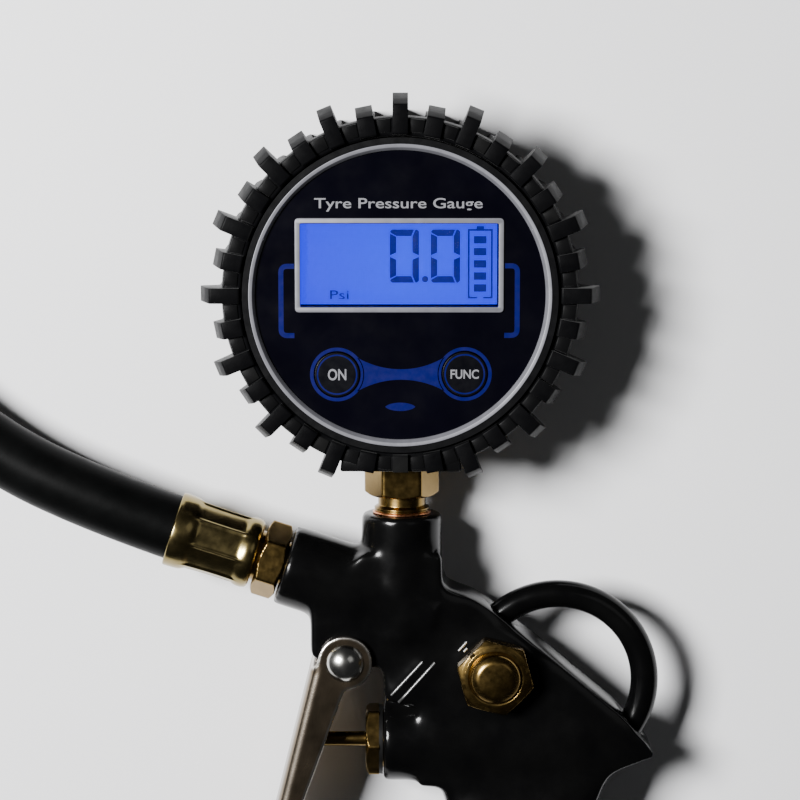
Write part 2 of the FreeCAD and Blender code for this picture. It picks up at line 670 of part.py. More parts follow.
def circuit_board():
    body = new_body("circuit_board")
    low = dim.board_height
    round_pad(body, 0, 0, dim.board_radius, low, low + dim.board_thick)
    for x, y in screw_places():
        round_hole(body, x, y, dim.pilot_radius + dim.wide_slip, low, low + dim.board_thick)
    place_on_gauge(body)


def board_screws():
    members = []
    top = dim.board_height + dim.board_thick
    for index, (x, y) in enumerate(screw_places()):
        head = cylinder("board_screw_head_%d" % index, dim.board_screw_head, top,
                        top + dim.board_screw_head_height)
        shank = cylinder("board_screw_shank_%d" % index, dim.screw_shank,
                         top - dim.board_thick - dim.board_screw_length * 0.8, top)
        screw = joined("board_screw_%d" % index, [head, shank])
        place(screw, x, y, 0)
        members.append(screw)
    place_on_gauge(group("board_screws", members))


def key_places():
    return (("on", dim.key_on_x, dim.key_on_y), ("func", dim.key_func_x, dim.key_func_y))


def key_switches():
    members = []
    low = dim.board_height + dim.board_thick
    for tag, x, y in key_places():
        base = doc.addObject("Part::Box", "switch_base_" + tag)
        bind(base, "Length", dim.switch_half * 2)
        bind(base, "Width", dim.switch_half * 2)
        bind(base, "Height", dim.switch_height)
        place(base, -dim.switch_half, -dim.switch_half, low)
        top = low + dim.switch_height
        plunger = cylinder("switch_plunger_" + tag, dim.plunger_radius, top,
                           top + dim.plunger_height)
        switch = joined("switch_" + tag, [base, plunger])
        place(switch, x, y, 0)
        members.append(switch)
    place_on_gauge(group("key_switches", members))


def display_slab(name, margin, low, high, rounding=0):
    body = new_body(name)
    block(body, dim.display_left - margin, dim.display_right + margin,
          dim.display_low - margin, dim.display_high + margin, low, high, rounding)
    place_on_gauge(body)
    return body


def display_pieces():
    light_low = dim.board_height + dim.board_thick
    glass_low = light_low + dim.light_thick
    display_slab("backlight_panel", dim.display_margin * 0.5, light_low, glass_low)
    display_slab("lcd_glass", dim.display_margin, glass_low, glass_low + dim.glass_thick)
    display_slab("lcd_lens", -dim.lens_gap, dim.lens_low, dim.lens_low + dim.lens_thick)
    low = dim.panel_height + dim.panel_thick
    frame = display_slab("lcd_frame", dim.frame_width, low, low + dim.frame_height,
                         dim.frame_corner)
    hollow(frame, dim.display_left, dim.display_right, dim.display_low, dim.display_high,
           low, low + dim.frame_height)


def face_panel():
    body = new_body("face_panel")
    low = dim.panel_height
    high = low + dim.panel_thick
    round_pad(body, 0, 0, dim.panel_radius, low, high)
    hollow(body, dim.display_left, dim.display_right, dim.display_low, dim.display_high,
           low, high)
    for tag, x, y in key_places():
        round_hole(body, x, y, dim.key_hole, low, high)
    place_on_gauge(body)


def button(tag, x, y):
    body = new_body("button_" + tag)
    turn(body, [
        (0, dim.key_stem_low), (dim.key_stem, dim.key_stem_low),
        (dim.key_stem, dim.key_flange_low), (dim.key_flange, dim.key_flange_low),
        (dim.key_flange, dim.key_flange_high), (dim.key_radius, dim.key_flange_high),
        (dim.key_radius, dim.key_top - dim.slip * 4), (dim.key_radius - dim.slip * 4, dim.key_top),
        (0, dim.key_top),
    ])
    place_on_gauge(body, x, y)


def bezel_ring():
    body = new_body("bezel_ring")
    low = dim.panel_height + dim.panel_thick
    turn(body, [
        (dim.bezel_inner, low), (dim.bezel_outer, low), (dim.bezel_outer, dim.bezel_top),
        (dim.bezel_crest, dim.bezel_top), (dim.bezel_inner, low + dim.bezel_lip),
    ])
    place_on_gauge(body)


def front_gasket():
    place_on_gauge(ring("front_gasket", dim.panel_radius, dim.gasket_inner,
                        dim.ledge_height, dim.panel_height))


def port_rotation():
    """Turns a piece drawn along Z so that it runs down the gun, along -Y."""
    return Rotation(Vector(-1, 0, 0), Vector(0, 0, 1), Vector(0, -1, 0), "ZXY")


def place_on_port(thing):
    place_on_gun(thing, dim.post_x, 0, 0, port_rotation())


def port_pieces():
    sensor = new_body("pressure_sensor")
    radius = dim.sensor_radius
    turn(sensor, [
        (0, dim.sensor_far), (radius * 0.8, dim.sensor_far), (radius, dim.sensor_far + radius * 0.2),
        (radius, dim.sensor_near), (0, dim.sensor_near),
    ])
    place_on_port(sensor)
    place_on_port(ring("sensor_seal", dim.sensor_seal_outer, dim.sensor_seal_inner,
                       dim.sensor_near, dim.seal_end))

    port = new_body("gauge_port")
    turn(port, [
        (0, dim.seal_end), (dim.port_shank, dim.seal_end), (dim.port_shank, dim.port_hex_end),
        (dim.port_neck, dim.port_hex_end), (dim.port_neck, dim.port_neck_end),
        (dim.port_flange, dim.port_neck_end), (dim.port_flange, dim.port_flange_end),
        (dim.port_thread, dim.port_flange_end), (dim.port_thread, dim.port_end),
        (0, dim.port_end),
    ])
    hex_pad(port, dim.port_hex_flats, dim.port_hex_start, dim.port_hex_end)
    ease_hex(port, dim.port_hex_flats, dim.port_hex_end, -1)
    bore(port, rod_profile(dim.port_bore, dim.seal_end, dim.port_end))
    place_on_port(port)

    nut = new_body("port_nut")
    hex_pad(nut, dim.nut_flats, dim.nut_start, dim.nut_start + dim.nut_thick)
    bore(nut, rod_profile(dim.port_shank + dim.slip, dim.nut_start,
                          dim.nut_start + dim.nut_thick))
    place_on_port(nut)
    place_on_port(ring("port_washer", dim.washer_outer, dim.washer_inner,
                       dim.port_flange_end, dim.post_top))


# ---------------------------------------------------------------- gun

def rod_sketch(body, start, stop, radius):
    """Half of a round bar between two places in the casting's middle plane."""
    sketch = new_sketch(body)
    (x1, y1), (x2, y2) = [(size(x), size(y)) for x, y in (start, stop)]
    run = Vector(x2.value - x1.value, y2.value - y1.value, 0).normalize()
    out = (size(radius) * -run.y, size(radius) * run.x)
    axis = Part.LineSegment(Vector(x1.value, y1.value, 0), Vector(x2.value, y2.value, 0))
    guide = sketch.addGeometry(axis, True)
    pin_point(sketch, guide, 1, x1, y1)
    pin_point(sketch, guide, 2, x2, y2)
    outline(sketch, [(x1, y1), (x2, y2), (x2 + out[0], y2 + out[1]), (x1 + out[0], y1 + out[1])])
    return sketch


def add_rod(body, start, stop, radius):
    sketch = rod_sketch(body, start, stop, radius)
    feature = body.newObject("PartDesign::Revolution", body.Name + "_rod")
    feature.Profile = sketch
    feature.ReferenceAxis = (sketch, ["Axis0"])
    feature.Angle = FULL_TURN
    doc.recompute()


def drill(body, start, stop, radius):
    sketch = rod_sketch(body, start, stop, radius)
    feature = body.newObject("PartDesign::Groove", body.Name + "_drilled")

    def set_up(item):
        item.Profile = sketch
        item.ReferenceAxis = (sketch, ["Axis0"])
        item.Angle = FULL_TURN

    cut_away(body, feature, set_up)


def along_hose(distance):
    """A place in the casting's plane on the hose's axis, out from the casting's end face."""
    slope = math.radians(dim.hose_slope.value)
    return (dim.hose_end_x - distance * math.cos(slope),
            dim.hose_end_y + distance * math.sin(slope))


def grip(body):
    sections = []
    for distance, front, rear, half, corner in GRIP_SECTIONS:
        sketch = new_sketch(body, "XZ_Plane", distance)
        outline(sketch, rectangle(front, rear, -half, half, corner))
        sections.append(sketch)
    loft = body.newObject("PartDesign::AdditiveLoft", body.Name + "_grip")
    loft.Profile = sections[0]
    loft.Sections = sections[1:]
    doc.recompute()


def face_rib(body, start, stop):
    run = (Vector(*stop, 0) - Vector(*start, 0)).normalize()
    side = Vector(-run.y, run.x, 0) * (dim.rib_width.value * 0.5)
    spots = [Vector(*start, 0) - side, Vector(*stop, 0) - side,
             Vector(*stop, 0) + side, Vector(*start, 0) + side]
    sketch = new_sketch(body, "XY_Plane", dim.casting_half - dim.rib_height)
    outline(sketch, [(spot.x, spot.y) for spot in spots])
    pad(body, sketch, dim.rib_height * 2)


def gun_casting():
    body = doc.addObject("PartDesign::Body", "gun_casting")
    sketch = new_sketch(body)
    outline(sketch, CASTING_OUTLINE)
    pad(body, sketch, dim.casting_half * 2, midplane=True)
    grip(body)
    add_rod(body, (dim.post_x, -dim.post_top), (dim.post_x, -dim.post_root), dim.post_radius)
    add_rod(body, along_hose(0), along_hose(-dim.hose_boss_length), dim.hose_boss_radius)
    add_rod(body, (dim.valve_face_x, dim.valve_y), (dim.valve_boss_end, dim.valve_y),
            dim.valve_boss_radius)
    add_rod(body, (dim.inlet_x, -dim.inlet_y + dim.inlet_boss_length),
            (dim.inlet_x, -dim.inlet_y), dim.inlet_boss_radius)
    round_pad(body, dim.plug_x, dim.plug_y, dim.plug_boss_radius, 0, dim.plug_boss_height)
    for start, stop in FACE_RIBS:
        face_rib(body, start, stop)

    drill(body, (dim.post_x, -dim.post_top), (dim.post_x, -dim.post_top - dim.post_bore_depth),
          dim.post_bore)
    meeting = hose_gallery_y(dim.post_x)
    drill(body, (dim.post_x, -dim.post_top - dim.post_bore_depth * 0.9), (dim.post_x, meeting),
          dim.gallery_radius)
    drill(body, along_hose(0), along_hose(-dim.hose_bore_depth), dim.hose_bore)
    drill(body, along_hose(-dim.hose_bore_depth * 0.9),
          (dim.gallery_x, hose_gallery_y(dim.gallery_x)), dim.gallery_radius)
    drill(body, (dim.gallery_x, hose_gallery_y(dim.gallery_x)), (dim.gallery_x, dim.valve_y),
          dim.gallery_radius)
    drill(body, (dim.gallery_x, dim.plug_y), (dim.plug_x, dim.plug_y), dim.gallery_radius)
    round_hole(body, dim.plug_x, dim.plug_y, dim.plug_bore, dim.plug_bore_floor,
               dim.plug_boss_height)
    drill(body, (dim.valve_face_x, dim.valve_y), (dim.bush_bore_end, dim.valve_y),
          dim.bush_bore)
    drill(body, (dim.bush_bore_end * 0.9, dim.valve_y), (dim.chamber_end, dim.valve_y),
          dim.chamber_radius)
    drill(body, (dim.inlet_x, -dim.inlet_y), (dim.inlet_x, -dim.inlet_y + dim.inlet_bore_depth),
          dim.inlet_bore)
    drill(body, (dim.inlet_x, -dim.inlet_y + dim.inlet_bore_depth * 0.9),
          (dim.inlet_x, dim.valve_y), dim.inlet_passage)
    round_hole(body, dim.pivot_x, dim.pivot_y, dim.pivot_bore, -dim.casting_half,
               dim.casting_half)
    place_on_gun(body)
    return body


def hose_gallery_y(x):
    """Height of the hose's axis inside the casting at a given x."""
    slope = math.tan(math.radians(dim.hose_slope.value))
    return dim.hose_end_y - (x - dim.hose_end_x) * slope


def loop_bar(name, spare):
    item = doc.addObject("Part::Torus", name)
    bind(item, "Radius1", dim.loop_radius)
    bind(item, "Radius2", dim.loop_bar + spare)
    bind(item, "Angle3", dim.loop_sweep + spare * 10)
    place_on_gun(item, dim.loop_x, dim.loop_y, 0,
                 Rotation(Vector(0, 0, 1), dim.loop_start.value))
    return item


def gun_body_and_loop():
    loop = loop_bar("hang_loop", Size(0))
    loop.Label = "hang_loop"
    nodes["hang_loop"] = loop
    drilled = doc.addObject("Part::Cut", "gun_body")
    drilled.Base = gun_casting()
    drilled.Tool = loop_bar("loop_holes", dim.slip)
    drilled.Label = "gun_body"
    nodes["gun_body"] = drilled


def side_plug():
    body = new_body("side_plug")
    low = dim.plug_boss_height + dim.plug_washer_thick
    top = low + dim.plug_hex_thick
    hex_pad(body, dim.plug_flats, low, top, dim.plug_tilt.value)
    ease_hex(body, dim.plug_flats, top, -1)
    crown = top + dim.plug_dome_height
    turn(body, [
        (0, dim.plug_shank_low), (dim.plug_shank, dim.plug_shank_low), (dim.plug_shank, low),
        (dim.plug_dome, low), (dim.plug_dome, top + dim.plug_dome_height * 0.4),
        (dim.plug_dome * 0.85, crown - dim.plug_dome_height * 0.2, 0),
        (dim.plug_dome * 0.5, crown), (0, crown),
    ])
    place_on_gun(body, dim.plug_x, dim.plug_y)
    place_on_gun(ring("side_plug_washer", dim.plug_washer_outer, dim.plug_shank + dim.slip,
                      dim.plug_boss_height, low), dim.plug_x, dim.plug_y)


def lever():
    body = new_body("lever")
    sketch = new_sketch(body)
    outline(sketch, LEVER_OUTLINE)
    pad(body, sketch, dim.cheek_outer * 2, midplane=True)
    sketch = new_sketch(body)
    outline(sketch, LEVER_ROOM)
    pocket(body, sketch, dim.cheek_inner * 2, midplane=True)
    sketch = new_sketch(body)
    circle(sketch, 0, 0, dim.rivet_radius + dim.slip)
    pocket(body, sketch, dim.cheek_outer * 2, midplane=True)
    place_on_gun(body, dim.pivot_x, dim.pivot_y, 0,
                 Rotation(Vector(0, 0, 1), dim.lever_tilt.value))


def lever_pivot_pin():
    """A rivet through both cheeks, with a domed head on each side."""
    body = new_body("lever_pivot_pin")
    under = dim.cheek_outer + dim.rivet_gap
    top = under + dim.rivet_head_height
    half = [
        (dim.rivet_radius, under), (dim.rivet_head, under),
        (dim.rivet_head * 0.93, under + dim.rivet_head_height * 0.45),
        (dim.rivet_head * 0.68, under + dim.rivet_head_height * 0.82),
        (dim.rivet_head * 0.3, top),
    ]
    mirrored = [(radius, -height) for radius, height in reversed(half)]
    turn(body, [(0, top)] + list(reversed(half)) + list(reversed(mirrored)) + [(0, -top)])
    place_on_gun(body, dim.pivot_x, dim.pivot_y)


def valve_rotation():
    """Turns a piece drawn along Z so that it runs into the gun, along +X."""
    return Rotation(Vector(0, 1, 0), Vector(0, 0, 1), Vector(1, 0, 0), "ZXY")


def place_on_valve(thing):
    place_on_gun(thing, 0, dim.valve_y, 0, valve_rotation())


def valve_pieces():
    bush = new_body("valve_bushing")
    turn(bush, rod_profile(dim.bush_thread, dim.bush_hex_end, dim.bush_end))
    hex_pad(bush, dim.bush_flats, dim.bush_hex_start, dim.bush_hex_end, 30.0)
    ease_hex(bush, dim.bush_flats, dim.bush_hex_start, 1)
    bore(bush, rod_profile(dim.pin_radius + dim.slip, dim.bush_hex_start, dim.bush_end))
    bore(bush, rod_profile(dim.groove_radius, dim.groove_start, dim.groove_end))
    place_on_valve(bush)

    place_on_valve(ring("bushing_washer", dim.bush_washer_outer, dim.bush_thread + dim.slip,
                        dim.bush_hex_end, dim.valve_face_x))
    place_on_valve(ring("pin_oring", dim.groove_radius - dim.slip, dim.pin_radius + dim.slip,
                        dim.groove_start + dim.wide_slip, dim.groove_end - dim.wide_slip))
    place_on_valve(ring("valve_seat", dim.chamber_radius - dim.slip, dim.seat_bore,
                        dim.seat_start, dim.seat_end))

    pin = new_body("valve_pin")
    tip = dim.pin_radius * 0.4
    turn(pin, [
        (0, dim.pin_start), (dim.pin_radius - tip, dim.pin_start),
        (dim.pin_radius, dim.pin_start + tip), (dim.pin_radius, dim.pin_end), (0, dim.pin_end),
    ])
    place_on_valve(pin)

    poppet = new_body("valve_poppet")
    turn(poppet, rod_profile(dim.poppet_radius, dim.poppet_start, dim.poppet_end))
    bore(poppet, rod_profile(dim.pin_radius, dim.poppet_start, dim.pin_end))
    place_on_valve(poppet)
    place_on_valve(ring("poppet_seal", dim.poppet_radius, dim.pin_radius,
                        dim.seat_end + dim.poppet_gap, dim.poppet_start))
    place_on_valve(ring("valve_spring", dim.valve_spring_outer, dim.valve_spring_inner,
                        dim.poppet_end, dim.chamber_end))


def inlet_pieces():
    """The air inlet plug, drawn along Z from the casting's lower end outward."""
    body = new_body("inlet_fitting")
    turn(body, [
        (0, -dim.inlet_bore_depth * 0.9), (dim.inlet_thread, -dim.inlet_bore_depth * 0.9),
        (dim.inlet_thread, 0), (dim.inlet_neck, 0), (dim.inlet_neck, dim.inlet_neck_end),
        (dim.inlet_collar, dim.inlet_neck_end), (dim.inlet_collar, dim.inlet_collar_end),
        (dim.inlet_groove, dim.inlet_collar_end + dim.inlet_groove * 0.2),
        (dim.inlet_groove, dim.inlet_groove_end),
        (dim.inlet_nose, dim.inlet_groove_end + dim.inlet_nose * 0.2),
        (dim.inlet_nose, dim.inlet_nose_end - dim.inlet_nose * 0.2),
        (dim.inlet_tip, dim.inlet_nose_end), (dim.inlet_tip, dim.inlet_end), (0, dim.inlet_end),
    ])
    hex_pad(body, dim.inlet_hex_flats, 0, dim.inlet_hex_thick, 30.0)
    ease_hex(body, dim.inlet_hex_flats, dim.inlet_hex_thick, -1)
    bore(body, rod_profile(dim.inlet_through, -dim.inlet_bore_depth, dim.inlet_end))
    place_on_gun(body, dim.inlet_x, -dim.inlet_y, 0, port_rotation())
    inner = -dim.inlet_bore_depth - dim.filter_length
    place_on_gun(ring("inlet_filter", dim.filter_radius, dim.filter_radius * 0.6,
                      inner, -dim.inlet_bore_depth), dim.inlet_x, -dim.inlet_y, 0,
                 port_rotation())


# ---------------------------------------------------------------- hose and chuck

def hose_direction():
    slope = math.radians(dim.hose_slope.value)
    return Vector(-math.cos(slope), math.sin(slope), 0)


def hose_rotation():
    along = hose_direction()
    return Rotation(Vector(0, 0, 1).cross(along), Vector(0, 0, 1), along, "ZXY")


def ferrule(name, back, mouth):
    """A crimped sleeve drawn along Z from its closed back to its belled mouth."""
    body = new_body(name)
    back, mouth = size(back), size(mouth)
    way = 1 if mouth.value > back.value else -1
    land, wall = dim.ferrule_land * way, dim.ferrule_back_wall * way
    turn(body, [
        (dim.barb_radius + dim.slip, back), (dim.ferrule_back, back),
        (dim.ferrule_bulge, back + wall), (dim.ferrule_bulge, back + land),
        (dim.ferrule_crimp, back + land + wall), (dim.ferrule_crimp, mouth - land),
        (dim.ferrule_bell, mouth - wall), (dim.ferrule_bell, mouth),
        (dim.ferrule_bore, mouth), (dim.ferrule_bore, back + wall),
        (dim.barb_radius + dim.slip, back + wall),
    ])
    return body


def barb(body, start, stop):
    """Saw-tooth barbs on a stem, from start towards its tip at stop."""
    start, stop = size(start), size(stop)
    count = 5
    step = (stop - start) * (1.0 / count)
    root = dim.barb_radius * 0.86
    corners = [(0, start), (root, start)]
    for index in range(count):
        base = start + step * index
        corners.append((dim.barb_radius, base + step * 0.15))
        corners.append((root, base + step))
    turn(body, corners + [(0, stop)])


def hose_fitting():
    body = new_body("hose_fitting")
    turn(body, [
        (0, -dim.hose_bore_depth * 0.9), (dim.hose_thread, -dim.hose_bore_depth * 0.9),
        (dim.hose_thread, dim.hose_hex_start), (dim.hose_collar, dim.hose_hex_start),
        (dim.hose_collar, dim.hose_collar_end), (0, dim.hose_collar_end),
    ])
    hex_pad(body, dim.hose_hex_flats, dim.hose_hex_start, dim.hose_hex_end)
    ease_hex(body, dim.hose_hex_flats, dim.hose_hex_start, 1)
    ease_hex(body, dim.hose_hex_flats, dim.hose_hex_end, -1)
    barb(body, dim.hose_collar_end, dim.barb_end)
    bore(body, rod_profile(dim.hose_through, -dim.hose_bore_depth, dim.barb_end))
    sleeve = ferrule("hose_ferrule", dim.hose_collar_end, dim.ferrule_end)
    for thing in (body, sleeve):
        place_on_gun(thing, dim.hose_end_x, dim.hose_end_y, 0, hose_rotation())


def hose_route():
    """Corner points of the hose's centre line in the object's frame."""
    start = along_hose(dim.hose_start.value)
    shift = Vector(dim.gauge_x.value, dim.gauge_y.value, 0)
    points = [Vector(start[0].value, start[1].value, dim.mid_height.value) + shift]
    return points + [Vector(*point) + shift for point in HOSE_POINTS]


def rounded_path(points):
    """Straight runs joined by tangent arcs as large as the runs allow."""
    edges, radii = [], []
    last = points[0]
    for before, corner, after in zip(points, points[1:], points[2:]):
        back, ahead = before - corner, after - corner
        shorter = min(back.Length, ahead.Length)
        reach = ARC_SHARE * shorter
        back.normalize()
        ahead.normalize()
        half_turn = (math.pi - back.getAngle(ahead)) / 2.0
        radius = reach / math.tan(half_turn)
        start, stop = corner + back * reach, corner + ahead * reach
        middle = (back + ahead).normalize()
        centre_gap = radius / math.cos(half_turn)
        top = corner + middle * (centre_gap - radius)
        edges.append(Part.LineSegment(last, start).toShape())
        edges.append(Part.Arc(start, top, stop).toShape())
        radii.append(radius)
        last = stop
    edges.append(Part.LineSegment(last, points[-1]).toShape())
    return Part.Wire(edges), radii


def swept(path, start, direction, radius):
    loop = Part.Wire([Part.Circle(start, direction, radius).toShape()])
    return path.makePipeShell([loop], True, True)


def hose():
    points = hose_route()
    path, radii = rounded_path(points)
    direction = (points[1] - points[0]).normalize()
    outside = swept(path, points[0], direction, dim.hose_radius.value)
    inside = swept(path, points[0], direction, dim.hose_bore_radius.value)
    item = doc.addObject("Part::Feature", "hose")
    item.Label = "hose"
    item.Shape = outside.cut(inside)
    nodes["hose"] = item
    section = math.pi * (dim.hose_radius.value ** 2 - dim.hose_bore_radius.value ** 2)
    print("hose length %.1f mm, smallest bend radius %.1f mm" % (path.Length, min(radii)))
    print("hose volume over section times length %.4f"
          % (item.Shape.Volume / (section * path.Length)))


def place_on_chuck(thing, s=0, up=0, rotation=None):
    """Chuck pieces are drawn with Z along the hose's last run and X straight up."""
    before, end = hose_route()[-2:]
    along = (end - before).normalize()
    sky = Vector(0, 0, 1)
    turned = Rotation(sky, along.cross(sky), along, "ZXY")
    base = end + along * size(s).value + sky * size(up).value
    thing.Placement = FreeCAD.Placement(base, turned * (rotation or Rotation()))


def chuck_pieces():
    sleeve = ferrule("chuck_ferrule", dim.chuck_ferrule_back, dim.chuck_ferrule_mouth)
    place_on_chuck(sleeve)

    stem = new_body("chuck_stem")
    hex_pad(stem, dim.chuck_hex_flats, dim.chuck_ferrule_back, dim.chuck_hex_end, 30.0)
    ease_hex(stem, dim.chuck_hex_flats, dim.chuck_ferrule_back, 1)
    barb(stem, dim.chuck_ferrule_back, dim.chuck_barb_start)
    bore(stem, rod_profile(dim.hose_through, dim.chuck_barb_start, dim.chuck_hex_end))
    place_on_chuck(stem)
    chuck_body()
    chuck_clip()
    place_on_chuck(ring("chuck_seal", dim.seal_outer, dim.seal_inner, dim.seal_start,
                        dim.socket_floor))
    depressor = new_body("chuck_depressor")
    disc_end = dim.depressor_start + dim.depressor_thick
    turn(depressor, [
        (0, dim.depressor_start), (dim.depressor_disc, dim.depressor_start),
        (dim.depressor_disc, disc_end), (dim.depressor_pin, disc_end),
        (dim.depressor_pin, dim.depressor_end), (0, dim.depressor_end),
    ])
    slot = dim.depressor_pin * 0.9
    for side in (-1, 1):
        round_hole(depressor, 0, (slot + dim.depressor_pin * 0.6) * side, slot * 0.55,
                   dim.depressor_start, disc_end)
    place_on_chuck(depressor)


def chuck_body():
    body = new_body("chuck_body")
    turn(body, [
        (0, dim.chuck_hex_end), (dim.chuck_neck, dim.chuck_hex_end),
        (dim.chuck_neck, dim.chuck_head_start - dim.clip_pin),
        (dim.chuck_head, dim.chuck_head_start), (dim.chuck_head, dim.chuck_end - dim.clip_pin),
        (dim.chuck_head - dim.clip_pin, dim.chuck_end), (0, dim.chuck_end),
    ])
    sketch = new_sketch(body, "XZ_Plane")
    outline(sketch, rectangle(0, dim.ears_top, dim.ears_start, dim.ears_end))
    pad(body, sketch, dim.ears_half * 2, midplane=True)
    bore(body, rod_profile(dim.chuck_through, dim.chuck_hex_end, dim.chuck_end))
    bore(body, rod_profile(dim.seal_groove, dim.seal_start, dim.socket_floor))
    bore(body, rod_profile(dim.socket_radius, dim.socket_floor, dim.chuck_end))
    sketch = new_sketch(body, "XZ_Plane")
    outline(sketch, rectangle(0, dim.chuck_head + 1, dim.slot_start, dim.slot_end))
    pocket(body, sketch, dim.slot_half * 2, midplane=True)
    sketch = new_sketch(body, "XZ_Plane")
    outline(sketch, rectangle(
        dim.seat_flat, dim.chuck_head, dim.clip_spring_s - dim.clip_spring_outer * 1.3,
        dim.clip_spring_s + dim.clip_spring_outer * 1.3))
    pocket(body, sketch, dim.chuck_head * 2, midplane=True)
    sketch = new_sketch(body, "XZ_Plane")
    circle(sketch, dim.clip_pivot_up, dim.clip_pivot_s, dim.clip_pin)
    pocket(body, sketch, dim.ears_half * 2, midplane=True)
    place_on_chuck(body)


def chuck_clip():
    """A thumb lever whose far end reaches through a slot to the valve's thread."""
    body = new_body("chuck_clip")
    roof, thick = dim.clip_roof, dim.clip_thick
    thumb_up, thumb_s = dim.clip_thumb_up, dim.clip_thumb_s
    sketch = new_sketch(body, "XZ_Plane")
    outline(sketch, [
        (thumb_up, thumb_s), (roof, dim.ears_start), (roof, dim.ears_end + thick),
        (roof + thick, dim.ears_end + thick), (roof + thick, dim.ears_start),
        (thumb_up + thick, thumb_s),
    ])
    pad(body, sketch, dim.clip_half * 2, midplane=True)
    sketch = new_sketch(body, "XZ_Plane")
    outline(sketch, [
        (roof, dim.ears_end), (roof + thick, dim.ears_end),
        (roof + thick, dim.clip_jaw_start + thick), (dim.clip_jaw_low, dim.clip_jaw_start + thick),
        (dim.clip_jaw_low, dim.clip_jaw_start), (roof, dim.clip_jaw_start),
    ])
    pad(body, sketch, dim.clip_jaw_half * 2, midplane=True)
    for side in (-1, 1):
        low = dim.clip_inner if side > 0 else -dim.clip_half
        sketch = new_sketch(body, "XZ_Plane", low)
        reach = dim.clip_pin * 2.4
        outline(sketch, [
            (dim.clip_pivot_up - reach, dim.clip_pivot_s - reach, dim.clip_pin),
            (roof + thick, dim.clip_pivot_s - reach), (roof + thick, dim.clip_pivot_s + reach),
            (dim.clip_pivot_up - reach, dim.clip_pivot_s + reach, dim.clip_pin),
        ])
        pad(body, sketch, dim.clip_half - dim.clip_inner)
    sketch = new_sketch(body, "XZ_Plane")
    circle(sketch, dim.clip_pivot_up, dim.clip_pivot_s, dim.clip_bore)
    pocket(body, sketch, dim.clip_half * 2, midplane=True)
    place_on_chuck(body)

    pin = cylinder("chuck_clip_pin", dim.clip_pin, -dim.clip_pin_half, dim.clip_pin_half)
    pin.Label = "chuck_clip_pin"
    nodes["chuck_clip_pin"] = pin
    across = Rotation(Vector(0, 0, 1), Vector(0, -1, 0))
    clear_placement(pin)
    place_on_chuck(pin, dim.clip_pivot_s, dim.clip_pivot_up, across)
    pin.Placement = pin.Placement * FreeCAD.Placement(
        Vector(0, 0, -dim.clip_pin_half.value), Rotation())

    spring = ring("chuck_clip_spring", dim.clip_spring_outer, dim.clip_spring_inner,
                  0, dim.clip_spring_top - dim.seat_flat)
    upright = Rotation(Vector(0, 0, 1), Vector(1, 0, 0))
    place_on_chuck(spring, dim.clip_spring_s, dim.seat_flat, upright)


def clear_placement(thing):
    for axis in ("x", "y", "z"):
        thing.setExpression("Placement.Base." + axis, None)


# ---------------------------------------------------------------- build, check and write

def build():
    gauge_boot()
    gauge_case()
    battery_cover()
    cover_screw()
    battery("battery_1", dim.battery_low_y, 1)
    battery("battery_2", dim.battery_high_y, -1)
    battery_springs()
    battery_contacts()
    circuit_board()
    board_screws()
    key_switches()
    display_pieces()
    face_panel()
    for tag, x, y in key_places():
        button(tag, x, y)
    bezel_ring()
    front_gasket()
    port_pieces()
    gun_body_and_loop()
    side_plug()
    lever()
    lever_pivot_pin()
    valve_pieces()
    inlet_pieces()
    hose_fitting()
    hose()
    chuck_pieces()
    doc.recompute()


def check():
    for item in doc.Objects:
        if "Invalid" in item.State or "Error" in item.State:
            raise RuntimeError("%s is %s" % (item.Name, item.State))
    for name, item in nodes.items():
        if item.Shape.isNull() or not item.Shape.isValid():
            raise RuntimeError("%s has no valid shape" % name)
        if not item.Shape.Solids or item.Shape.Volume <= 0:
            raise RuntimeError("%s is not solid" % name)


def write():
    os.makedirs("parts", exist_ok=True)
    for name, item in nodes.items():
        item.Shape.exportStep("parts/%s.step" % name)
    print("%d nodes written" % len(nodes))


build()
check()
write()
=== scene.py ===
import bpy
import bmesh
import json
import math
import numpy as np
from mathutils import Matrix, Vector

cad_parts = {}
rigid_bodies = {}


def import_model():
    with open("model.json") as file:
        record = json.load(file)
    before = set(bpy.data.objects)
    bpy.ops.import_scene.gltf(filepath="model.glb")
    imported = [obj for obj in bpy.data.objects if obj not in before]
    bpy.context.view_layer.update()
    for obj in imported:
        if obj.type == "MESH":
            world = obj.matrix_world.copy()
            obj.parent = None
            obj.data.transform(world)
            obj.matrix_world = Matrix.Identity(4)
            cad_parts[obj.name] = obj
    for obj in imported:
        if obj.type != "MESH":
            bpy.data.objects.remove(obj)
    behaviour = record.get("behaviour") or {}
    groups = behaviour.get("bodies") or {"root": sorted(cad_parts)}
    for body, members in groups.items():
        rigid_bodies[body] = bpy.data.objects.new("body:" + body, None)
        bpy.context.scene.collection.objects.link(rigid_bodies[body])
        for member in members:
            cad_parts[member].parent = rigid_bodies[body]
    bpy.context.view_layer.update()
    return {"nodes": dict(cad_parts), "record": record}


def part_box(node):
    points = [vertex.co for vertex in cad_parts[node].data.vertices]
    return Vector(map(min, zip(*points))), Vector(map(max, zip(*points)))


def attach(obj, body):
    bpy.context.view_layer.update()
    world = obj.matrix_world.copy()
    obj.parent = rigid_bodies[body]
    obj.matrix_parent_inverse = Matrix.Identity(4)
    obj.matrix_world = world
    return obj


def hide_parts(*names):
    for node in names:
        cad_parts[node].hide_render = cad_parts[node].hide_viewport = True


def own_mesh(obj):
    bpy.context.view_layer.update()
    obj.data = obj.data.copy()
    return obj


# Looks of the tyre pressure gauge on its inflator gun. Sizes are in millimetres, unless a
# comment says metres: gauge pieces from the gauge's own axis and the floor, gun pieces from the
# same axis and the casting's middle plane. at() and on_gun() turn them into the frame's metres.

